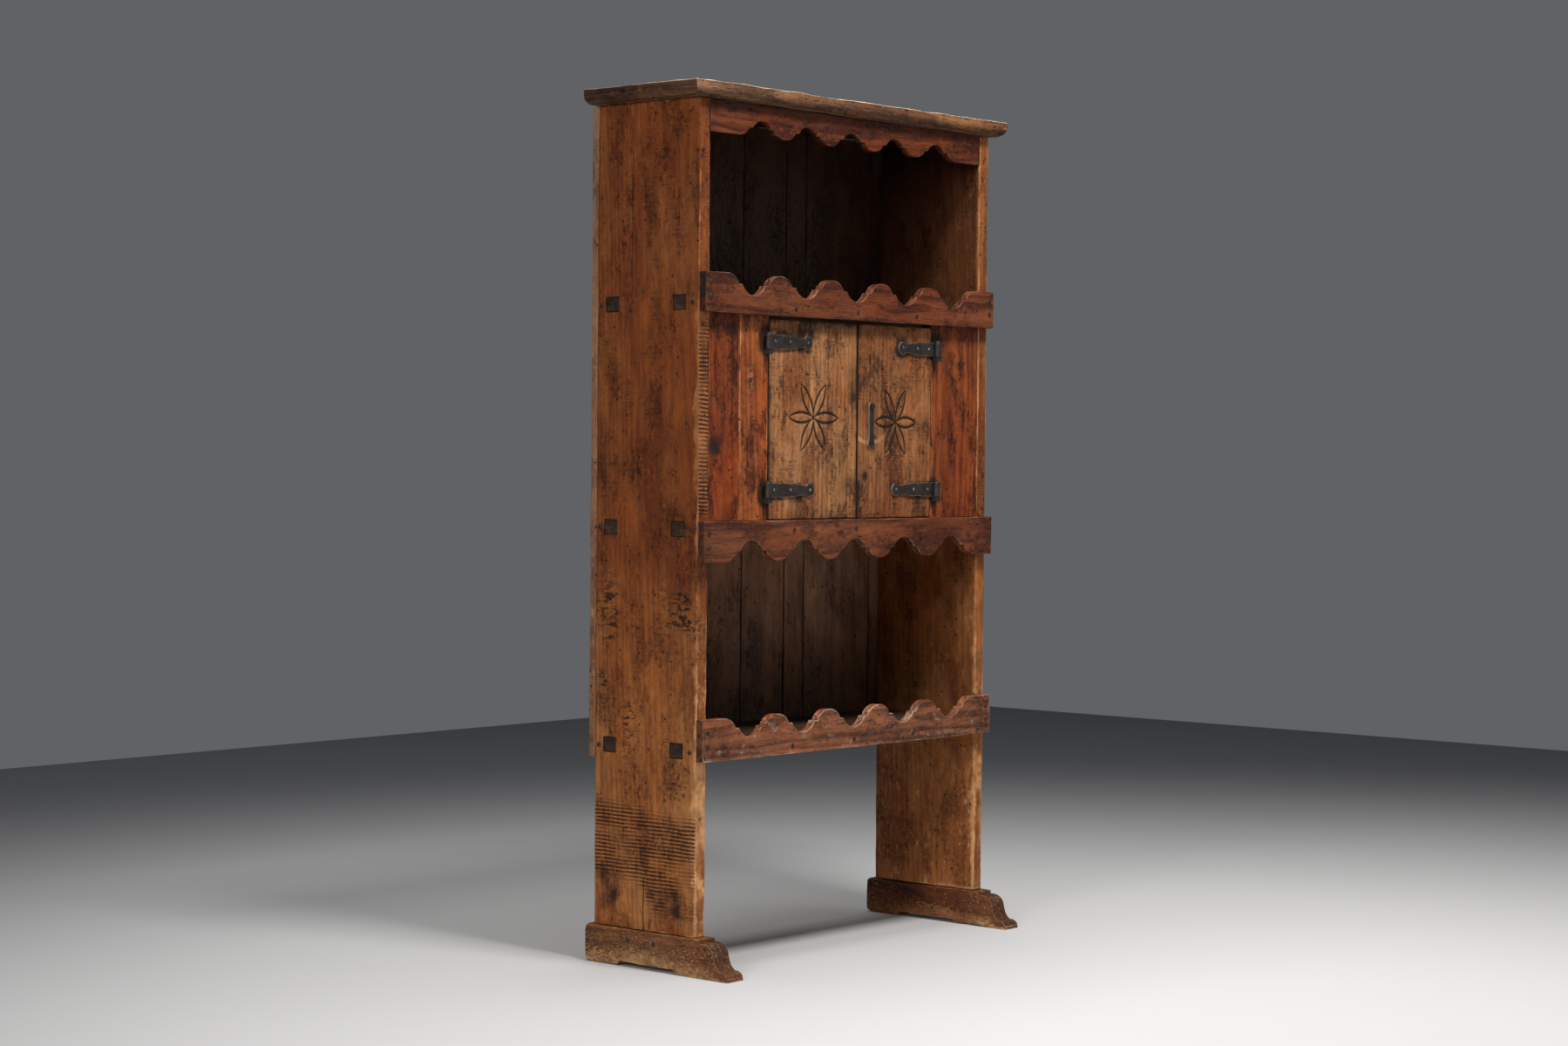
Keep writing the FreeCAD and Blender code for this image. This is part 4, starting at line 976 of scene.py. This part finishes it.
def foot(node, seed, marks):
    """Sledge foot: its moulded toe, its worn corners and the shallow relief underneath."""
    low, high = corners(node)
    extra = [FRONT - value * MM for value in TOE_TURNS]
    for end, inner in ((RELIEF_START, RELIEF_SLOPE), (RELIEF_END, -RELIEF_SLOPE)):
        extra += [FRONT + end * MM, FRONT + (end + inner) * MM]
    extra += [*np.arange(FRONT - TOE_END * MM, FRONT - TOE_START * MM, 3 * MM)]
    surface = plain_box(node, seed, (6 * MM, 8 * MM, 7 * MM), ((), extra, ()))
    heel = smooth(high[Y] - 30 * MM, high[Y], surface.flat[:, Y])
    surface.round_edges(surface.uneven(2.6 * MM, share=0.9, size=0.03, most=2.2) + 7 * MM * heel)
    surface.erode(Y, 1.2 * MM)
    surface.dent(0.6 * MM, (0.03, 0.06, 0.02))
    reach = (FRONT - surface.points[:, Y]) / MM
    top = np.minimum(foot_top(reach), high[Z] / MM)
    inside = np.minimum(-reach - RELIEF_START, RELIEF_END + reach) / RELIEF_SLOPE
    hollow = RELIEF_HEIGHT * np.clip(inside, 0, 1)
    share = (surface.points[:, Z] - low[Z]) / (high[Z] - low[Z])
    surface.points[:, Z] = low[Z] + (hollow + share * (top - hollow)) * MM
    on_toe = surface.on(Z, high[Z]) & (reach > TOE_START)
    surface.wear += 0.45 * smooth(0.6, 0.0, share) * ~on_toe
    surface.grime += 0.4 * on_toe + 0.2 * smooth(0.5, 1.0, share)
    finish_board(node, surface, Y, Z, marks, [], 0.8 * MM)


foot("left_foot", 71, [])
foot("right_foot", 72, [redden(0.9, Y, FRONT - 50 * MM, FRONT + 30 * MM)])


# Cupboard front


def strap_stains(hand, reach):
    """Stains round both straps of one hand."""
    return [stained_round(f"{level}_{hand}_strap", 0.7, reach) for level in ("upper", "lower")]


FRONT_MARKS = {
    "outer_front_board": [
        redden(0.75),
        grubby(0.4),
        soil(Y, FRONT, ((-0.415, 1.04, 0.03, 0.035, 1.5, 61), (-0.40, 0.99, 0.008, 0.03, 0.8, 62),
                        (-0.39, 1.27, 0.06, 0.05, 0.45, 63), (-0.37, 1.13, 0.03, 0.09, 0.35, 34))),
    ],
    "inner_front_board": [
        grubby(0.4),
        soil(Y, FRONT, ((-0.31, 1.17, 0.02, 0.06, 0.6, 64),), "wear"),
        soil(Y, FRONT, ((-0.31, 1.17, 0.016, 0.05, 1.0, 64), (-0.30, 1.094, 0.012, 0.03, 1.2, 36)), "scuff"),
        soil(Y, FRONT, ((-0.30, 1.17, 0.02, 0.06, 0.5, 64), (-0.27, 1.25, 0.03, 0.06, 0.7, 65),
                        (-0.27, 0.93, 0.03, 0.06, 0.7, 66))),
        *strap_stains("left", 14 * MM),
    ],
    "right_front_board": [
        redden(0.5),
        grubby(0.4),
        soil(Y, FRONT, ((0.29, 1.27, 0.06, 0.05, 0.7, 67), (0.28, 0.94, 0.025, 0.06, 0.7, 68),
                        (0.40, 1.08, 0.01, 0.012, 0.8, 69), (0.36, 1.16, 0.05, 0.08, 0.35, 35))),
        *strap_stains("right", 14 * MM),
    ],
}
for number, (node, marks) in enumerate(FRONT_MARKS.items()):
    board(node, Z, X, 81 + number, step=9 * MM, round_by=1.5 * MM, marks=marks)
board("door_stop", X, Z, 84)

PETALS, PETAL_DEPTH = 6, 2.2 * MM
CUT_NARROWEST, CUT_SWELL = MM, 2.1 * MM
CIRCLE_SHARE, CIRCLE_WIDTH = 0.35, 0.6 * MM
BUTTON_REACH, SCRATCH_WIDTH = 76 * MM, 3 * MM
FINE_STEP = 1.25 * MM


@mark
def rosette(surface, centre_x, centre_z, radius, tall, face):
    """Six petals cut between compass arcs, their cuts widest half way, with a light circle round them."""
    front = surface.on(Y, face)
    x = surface.flat[:, X] - centre_x
    z = (surface.flat[:, Z] - centre_z) / tall
    away = np.hypot(x, z)
    nearest = np.full(len(x), np.inf)
    for turn in np.arange(PETALS) * 2 * math.pi / PETALS:
        arc = np.hypot(x - radius * math.cos(turn), z - radius * math.sin(turn))
        nearest = np.minimum(nearest, np.abs(arc - radius))
    width = CUT_NARROWEST + CUT_SWELL * np.sin(math.pi * np.clip(away / radius, 0, 1))
    cut = smooth(radius + MM, radius - MM, away) * bell(nearest, width)
    ring = CIRCLE_SHARE * bell(away - radius * 1.01, CIRCLE_WIDTH)
    groove = front * np.maximum(cut, ring)
    surface.points[:, Y] += PETAL_DEPTH * groove
    # The cuts are painted dark: dirt in them and painted shade of their hollows
    surface.grime += CUT_DIRT_AND_SHADE * groove


def swept_arc(surface):
    """Pale line that the button's tip has scratched below its nail."""
    low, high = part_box("button_nail")
    x = surface.flat[:, X] - (low.x + high.x) / 2
    z = surface.flat[:, Z] - (low.z + high.z) / 2
    swing = np.arctan2(x, -z)
    reach = smooth(-0.6, -0.45, swing) * smooth(0.68, 0.5, swing)
    line = bell(np.hypot(x, z) - BUTTON_REACH, SCRATCH_WIDTH)
    surface.wear += 3.0 * surface.on(Y, FRONT) * reach * line


def door(node, seed, centre_x, centre_z, radius, tall, fine_from, marks):
    """Plank door with its rosette, on a grid that is fine from one place across to the rosette's end."""
    low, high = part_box(node)
    span = radius * 1.08
    extra_x = np.arange(fine_from, centre_x + span, FINE_STEP)
    extra_z = np.arange(centre_z - span * tall, centre_z + span * tall, FINE_STEP)
    every = [rosette(centre_x, centre_z, radius, tall, low.y), dirt_and_shade_at(Z, high.z, 0.4, 10 * MM)]
    # Both upright edges are painted dark: painted shade of the gaps beside the door
    every += [dirt_and_shade_at(X, edge, 0.9, 2.5 * MM) for edge in (low.x, high.x)]
    board(node, Z, X, seed, step=8 * MM, extra=(extra_x, (), extra_z), round_by=1.8 * MM, bite=0.7 * MM,
          marks=[*every, *marks], wear_reach=0.8 * MM)


door("left_door", 91, centre_x=-0.116, centre_z=1.098, radius=0.078, tall=1.0, fine_from=-0.197, marks=[
    grubby(0.65),
    soil(Y, FRONT, ((-0.02, 1.0, 0.03, 0.1, 0.5, 37), (-0.15, 0.92, 0.08, 0.03, 0.4, 38),
                    (-0.14, 1.27, 0.12, 0.03, 0.4, 39), (0.01, 1.15, 0.02, 0.07, 0.6, 71),
                    (0.005, 0.96, 0.04, 0.06, 0.45, 72), (-0.02, 1.2, 0.05, 0.05, 0.4, 73),
                    (-0.24, 1.0, 0.02, 0.12, 0.35, 78), (-0.05, 1.05, 0.05, 0.05, 0.3, 79))),
    stained_round("turn_button", 0.3, 40 * MM),
    *strap_stains("left", 9 * MM),
])
door("right_door", 92, centre_x=0.150, centre_z=1.092, radius=0.069, tall=1.12, fine_from=0.028, marks=[
    redden(0.42),
    grubby(0.35),
    soil(Y, FRONT, ((0.06, 1.12, 0.05, 0.03, 0.5, 74), (0.05, 0.98, 0.015, 0.02, 0.9, 75),
                    (0.03, 0.93, 0.012, 0.05, 0.8, 76), (0.06, 1.27, 0.03, 0.02, 0.5, 77))),
    swept_arc,
    *strap_stains("right", 9 * MM),
])


# Forged iron

STRAP_THICKNESS, STRAP_ROOT, STRAP_MIDDLE = 3.5 * MM, 15.5 * MM, 14 * MM
STRAP_NECK, STRAP_KNOB = 9 * MM, 13.5 * MM
EYE_OUTER, EYE_BORE, EYE_LIP = 7.9 * MM, 4.6 * MM, 0.8 * MM
EYE_SIDES, EYE_SEED, EYE_ROUGHNESS, EYE_WEAR = 28, 5, 0.05, 0.35
NARROWEST = 1.5 * MM
HAMMER_DEPTH, EDGE_DROOP = 0.5 * MM, 1.1 * MM
HEAD_HEIGHT, HEAD_ZONE, NAIL_STUB = 2.2 * MM, 4 * MM, 3 * MM
HEAD_SIDES, HEAD_ROUGHNESS, HEAD_TURN = 11, 0.22, 1.7
STUB_SHARE, BRIM_SHARE = 0.35, 0.25
BUTTON_EYE = 8 * MM


def put(points, faces, to_part):
    """A shell's points and faces moved to their place in the part, with its faces still outward."""
    matrix = np.array(to_part)
    moved = points @ matrix[:3, :3].T + matrix[:3, 3]
    return moved, faces[:, ::-1] if np.linalg.det(matrix[:3, :3]) < 0 else faces


def forged(seed, length, half_width, thickness, to_part, extra_lines):
    """Hammered bar: along from 0 to length, half as wide as half_width says, placed by to_part."""
    points, faces = lattice([
        grid_lines(0, length, 3 * MM, extra_lines),
        np.linspace(-1, 1, 13),
        grid_lines(0, thickness, 1.2 * MM),
    ])
    along, across, depth = points.T
    width = half_width(along)
    true = np.stack([along, across * width, depth], axis=1)
    rim = np.minimum(width * (1 - np.abs(across)), np.minimum(along, length - along))
    face = depth > thickness - ON_PLANE
    sunk = HAMMER_DEPTH * np.clip(0.5 + wander(true, 0.008, seed), 0, 1.2)
    droop = EDGE_DROOP * bell(rim, 1.5 * MM)
    true[:, 2] -= np.where(face, np.maximum(sunk, droop), 0)
    true[:, 1] *= 1 - 0.06 * np.clip(0.5 + wander(true * (1, 0.2, 0.2), 0.01, seed + 1), 0, 1.2)
    # The rims' wear, which the iron paints pale: rubbed metal and a painted highlight
    return *put(true, faces, to_part), bell(rim, 1.2 * MM)


def spun(profile, segments, to_part, seed, rough, wear):
    """Turned or hammered round form: a profile of radius and height spun about its axis."""
    turns = np.arange(segments) * 2 * math.pi / segments
    circle = np.stack([np.cos(turns), np.sin(turns)], axis=1)
    rings = [np.c_[radius * circle, np.full(segments, height)] for radius, height in profile]
    points = np.concatenate(rings)
    swell = 1 - rough * np.clip(0.5 + wander(points + seed, 0.003, seed), 0, 1)
    points[:, :2] *= swell[:, None]
    faces = []
    for ring in range(len(profile) - 1):
        for step in range(segments):
            following = (step + 1) % segments
            lower = [ring * segments + step, ring * segments + following]
            faces.append([*lower, lower[1] + segments, lower[0] + segments])
    return *put(points, np.array(faces), to_part), np.full(len(points), wear)


def join(node, shells):
    """One forged piece out of several closed shells."""
    starts = np.cumsum([0, *(len(points) for points, _, _ in shells)])
    points = np.concatenate([points for points, _, _ in shells])
    faces = np.concatenate([faces + start for (_, faces, _), start in zip(shells, starts)])
    wear = np.concatenate([wear for _, _, wear in shells])
    make_object(f"{node}_forged", points, faces, {"wear": wear}, node)


def strap(node, sign, seed):
    """Strap with its rolled eye; sign is the way it runs from the pin."""
    low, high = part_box(node)
    pin_x = low.x + EYE_OUTER if sign > 0 else high.x - EYE_OUTER
    length = high.x - low.x - EYE_OUTER
    middle_z = (low.z + high.z) / 2
    knob_at = length - STRAP_KNOB
    neck_at = knob_at - math.sqrt(STRAP_KNOB ** 2 - STRAP_NECK ** 2)

    def half_width(along):
        blade = np.interp(along, [0, length / 2, neck_at], [STRAP_ROOT, STRAP_MIDDLE, STRAP_NECK])
        knob = np.sqrt(np.clip(STRAP_KNOB ** 2 - (along - knob_at) ** 2, NARROWEST ** 2, None))
        return np.where(along < neck_at, blade, knob)

    knob_lines = knob_at + STRAP_KNOB * np.sin(np.linspace(0.2, math.pi / 2, 8))
    to_part = Matrix(((sign, 0, 0, pin_x), (0, 0, -1, high.y), (0, 1, 0, middle_z), (0, 0, 0, 1)))
    blade = forged(seed, length, half_width, STRAP_THICKNESS, to_part, [neck_at, *knob_lines])
    half = (high.z - low.z) / 2
    profile = [(EYE_BORE, -half), (EYE_OUTER - EYE_LIP, -half), (EYE_OUTER, -half + EYE_LIP)]
    profile += [(EYE_OUTER, height) for height in np.linspace(-half + 4 * EYE_LIP, half - 4 * EYE_LIP, 9)]
    profile += [(EYE_OUTER, half - EYE_LIP), (EYE_OUTER - EYE_LIP, half), (EYE_BORE, half), (EYE_BORE, -half)]
    pin = Matrix.Translation((pin_x, low.y + EYE_OUTER, middle_z))
    join(node, [blade, spun(profile, EYE_SIDES, pin, EYE_SEED, EYE_ROUGHNESS, EYE_WEAR)])


for number, level in enumerate(("upper", "lower")):
    strap(f"{level}_left_strap", 1, 101 + number)
    strap(f"{level}_right_strap", -1, 103 + number)


def islands(node):
    """Points of each of a node's separate solids, in a fixed order."""
    shell = bmesh.new()
    shell.from_mesh(frame["nodes"][node].data)
    bmesh.ops.remove_doubles(shell, verts=shell.verts, dist=WELD_GAP)
    left = set(shell.verts)
    solids = []
    while left:
        group = [left.pop()]
        for vertex in group:
            for edge in vertex.link_edges:
                other = edge.other_vert(vertex)
                if other in left:
                    left.remove(other)
                    group.append(other)
        solids.append(np.array([vertex.co for vertex in group]))
    shell.free()
    return sorted(solids, key=lambda spots: tuple(spots.mean(axis=0).round(4)))


def nail_heads(node, dome, wear):
    """Hammered heads where a node's nails have theirs, each with a stub of its shank."""
    crown = dome * HEAD_HEIGHT
    shells = []
    for number, spots in enumerate(islands(node)):
        low, high = spots.min(axis=0), spots.max(axis=0)
        axis = int(np.argmax(high - low))
        near_end = [spots[np.abs(spots[:, axis] - end) < HEAD_ZONE] for end in (low[axis], high[axis])]
        spread = [np.ptp(end_spots, axis=0).sum() for end_spots in near_end]
        outward = -1 if spread[0] > spread[1] else 1
        middle = (low + high) / 2
        middle[axis] = (low if outward < 0 else high)[axis] - outward * HEAD_HEIGHT
        radius = (high - low)[(axis + 1) % 3] / 2
        direction = Vector([outward if index == axis else 0 for index in range(3)])
        turn = direction.to_track_quat("Z", "Y").to_matrix().to_4x4()
        to_part = Matrix.Translation(middle) @ turn @ Matrix.Rotation(number * HEAD_TURN, 4, "Z")
        stub = STUB_SHARE * radius
        brim = BRIM_SHARE * crown
        profile = [(0, -NAIL_STUB), (stub, -NAIL_STUB), (stub, 0), (radius * 0.9, 0), (radius, brim)]
        for share in (0.93, 0.8, 0.62, 0.4, 0.2):
            profile.append((radius * share, brim + (crown - brim) * math.sqrt(1 - share ** 2)))
        profile.append((0, crown))
        shells.append(spun(profile, HEAD_SIDES, to_part, number + 3, HEAD_ROUGHNESS, wear))
    join(node, shells)


for node in sorted(SLOT_OF):
    if node.endswith("_nails"):
        # Door nails' heads domed and paler: rubbed, and a painted highlight on the domes
        dome, wear = (1.0, 0.62) if "door_nails" in node else (0.6, 0.2)
        nail_heads(node, dome, wear)


def button(node):
    """Turn button hanging from its nail, its tip flared."""
    low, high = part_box(node)
    length = high.z - low.z
    tip = [BUTTON_EYE, length - 24 * MM, length - 14 * MM, length - 4 * MM, length]
    tip_widths = [BUTTON_EYE, 7.5 * MM, 8.6 * MM, 11.8 * MM, 11 * MM]

    def half_width(along):
        over = BUTTON_EYE - np.clip(along, 0, BUTTON_EYE)
        top = np.sqrt(np.clip(BUTTON_EYE ** 2 - over ** 2, NARROWEST ** 2, None))
        return np.where(along < BUTTON_EYE, top, np.interp(along, tip, tip_widths))

    middle_x = (low.x + high.x) / 2
    to_part = Matrix(((0, 1, 0, middle_x), (0, 0, -1, high.y), (-1, 0, 0, high.z), (0, 0, 0, 1)))
    lines = BUTTON_EYE * (1 - np.cos(np.linspace(0.3, math.pi / 2, 6)))
    join(node, [forged(105, length, half_width, high.y - low.y, to_part, lines)])


button("turn_button")

for node, piece in frame["nodes"].items():
    if node.endswith("_pintle") or node == "button_nail":
        for place in piece.material_slots:
            place.material = FINISH["forged_iron"]
        piece.modifiers.new("joined_corners", "WELD").merge_threshold = WELD_GAP
        soften = piece.modifiers.new("softened_edges", "BEVEL")
        soften.width = 0.7 * MM
        soften.segments = 2


# Floor, light and camera

WALL_X, WALL_Y, FLOOR_FRONT = 5.0, 4.05, 9.0
# The floor's colour holds a painted pool of light: pale near this spot, painted darker from the near to the
# far distance
FLOOR_PAINTED_LIGHT_SPOT = (-0.2, -1.6, 0)
FLOOR_NEAR, FLOOR_FAR = 0.5, 5.3
FLOOR_PAINTED_LIT, FLOOR_PAINTED_DIM = tone(194, 193, 192), tone(78, 79, 81)


def floor():
    """Pale floor up to two walls behind the case, with a painted pool of light: pale round one spot, painted
    darker towards the walls.
    """
    mesh = bpy.data.meshes.new("floor")
    outline = [(-FLOOR_FRONT, -FLOOR_FRONT), (WALL_X, -FLOOR_FRONT), (WALL_X, WALL_Y), (-FLOOR_FRONT, WALL_Y)]
    mesh.from_pydata([(x, y, 0) for x, y in outline], [], [range(len(outline))])
    paint = Paint("pale_floor_painted_light")
    place = paint.add("TexCoord", {}, "Object")
    away = paint.add("VectorMath", {0: place, 1: FLOOR_PAINTED_LIGHT_SPOT}, "Value", operation="DISTANCE")
    patch = paint.noise(place, 2.5, 2.5, 6, 0.65)
    away = paint.math("ADD", away, paint.times(patch, 0.15))
    # Painted light and shade: pale near the lit spot, darker away from it
    colour = paint.mix(paint.between(away, FLOOR_NEAR, FLOOR_FAR), FLOOR_PAINTED_LIT, FLOOR_PAINTED_DIM)
    paint.cover(colour, paint.times(patch, 0.2), smoothest=0.55)
    paint.shader.inputs["Specular IOR Level"].default_value = 0.15
    mesh.materials.append(paint.material)
    ground = bpy.data.objects.new("floor", mesh)
    bpy.context.scene.collection.objects.link(ground)


floor()


def lamp(name, place, aim, size, level):
    """Square soft light; level is the share of a plain level that it gives a surface facing it."""
    light = bpy.data.lights.new(name, "AREA")
    light.shape = "SQUARE"
    light.size = size
    away = Vector(place) - Vector(aim)
    light.energy = level * math.pi ** 2 * away.length_squared
    made = bpy.data.objects.new(name, light)
    made.location = place
    made.rotation_mode = "QUATERNION"
    made.rotation_quaternion = away.to_track_quat("Z", "Y")
    bpy.context.scene.collection.objects.link(made)


lamp("top_light", (-0.4, -1.75, 4.35), aim=(0, 0, 0.6), size=0.7, level=1.13)
lamp("over_light", (0.2, 0.2, 4.8), aim=(0.2, 0.2, 0), size=2.2, level=0.62)
lamp("left_light", (-4.6, -1.0, 2.2), aim=(0, 0, 0.9), size=1.5, level=0.46)
lamp("right_light", (2.2, -4.8, 2.4), aim=(0, 0, 0.9), size=4.0, level=0.09)

# A weak glow all round, and a plain grey backdrop where the surroundings are seen
GLOW, GLOW_LEVEL = tone(252, 252, 250), 0.09
BACKDROP = tone(96, 98, 101)
world = bpy.data.worlds.new("studio")
world.use_nodes = True
world.node_tree.nodes.clear()
bpy.context.scene.world = world
sky = Nodes(world.node_tree)
rays = sky.tree.nodes.new("ShaderNodeLightPath").outputs
seen = sky.math("MAXIMUM", rays["Is Camera Ray"], rays["Is Glossy Ray"])
seen = sky.math("MAXIMUM", seen, rays["Is Transmission Ray"])
glow = sky.add("Background", {"Color": GLOW, "Strength": GLOW_LEVEL})
backdrop = sky.add("Background", {"Color": BACKDROP, "Strength": 1.0})
both = sky.add("MixShader", {0: seen, 1: glow, 2: backdrop})
sky.plug(sky.tree.nodes.new("ShaderNodeOutputWorld").inputs["Surface"], both)

CAMERA_PLACE = Vector((-4.76866, -4.04515, 1.02687))
CAMERA_YAW, CAMERA_PITCH, CAMERA_ROLL = 0.8579, -0.0235, 0.0083
IMAGE_WIDTH, FOCAL_PIXELS = 1799, 3436.8
camera = bpy.data.cameras.new("camera")
camera.sensor_fit = "HORIZONTAL"
camera.sensor_width = 36
camera.lens = FOCAL_PIXELS / IMAGE_WIDTH * camera.sensor_width
viewer = bpy.data.objects.new("camera", camera)
forward = Vector((math.sin(CAMERA_YAW) * math.cos(CAMERA_PITCH),
                  math.cos(CAMERA_YAW) * math.cos(CAMERA_PITCH),
                  math.sin(CAMERA_PITCH)))
level_right = Vector((math.cos(CAMERA_YAW), -math.sin(CAMERA_YAW), 0))
level_up = level_right.cross(forward)
right = math.cos(CAMERA_ROLL) * level_right + math.sin(CAMERA_ROLL) * level_up
up = math.cos(CAMERA_ROLL) * level_up - math.sin(CAMERA_ROLL) * level_right
turned = Matrix((right, up, -forward)).transposed().to_4x4()
viewer.matrix_world = Matrix.Translation(CAMERA_PLACE) @ turned
bpy.context.scene.collection.objects.link(viewer)
bpy.context.scene.camera = viewer
bpy.context.scene.view_settings.view_transform = "Standard"
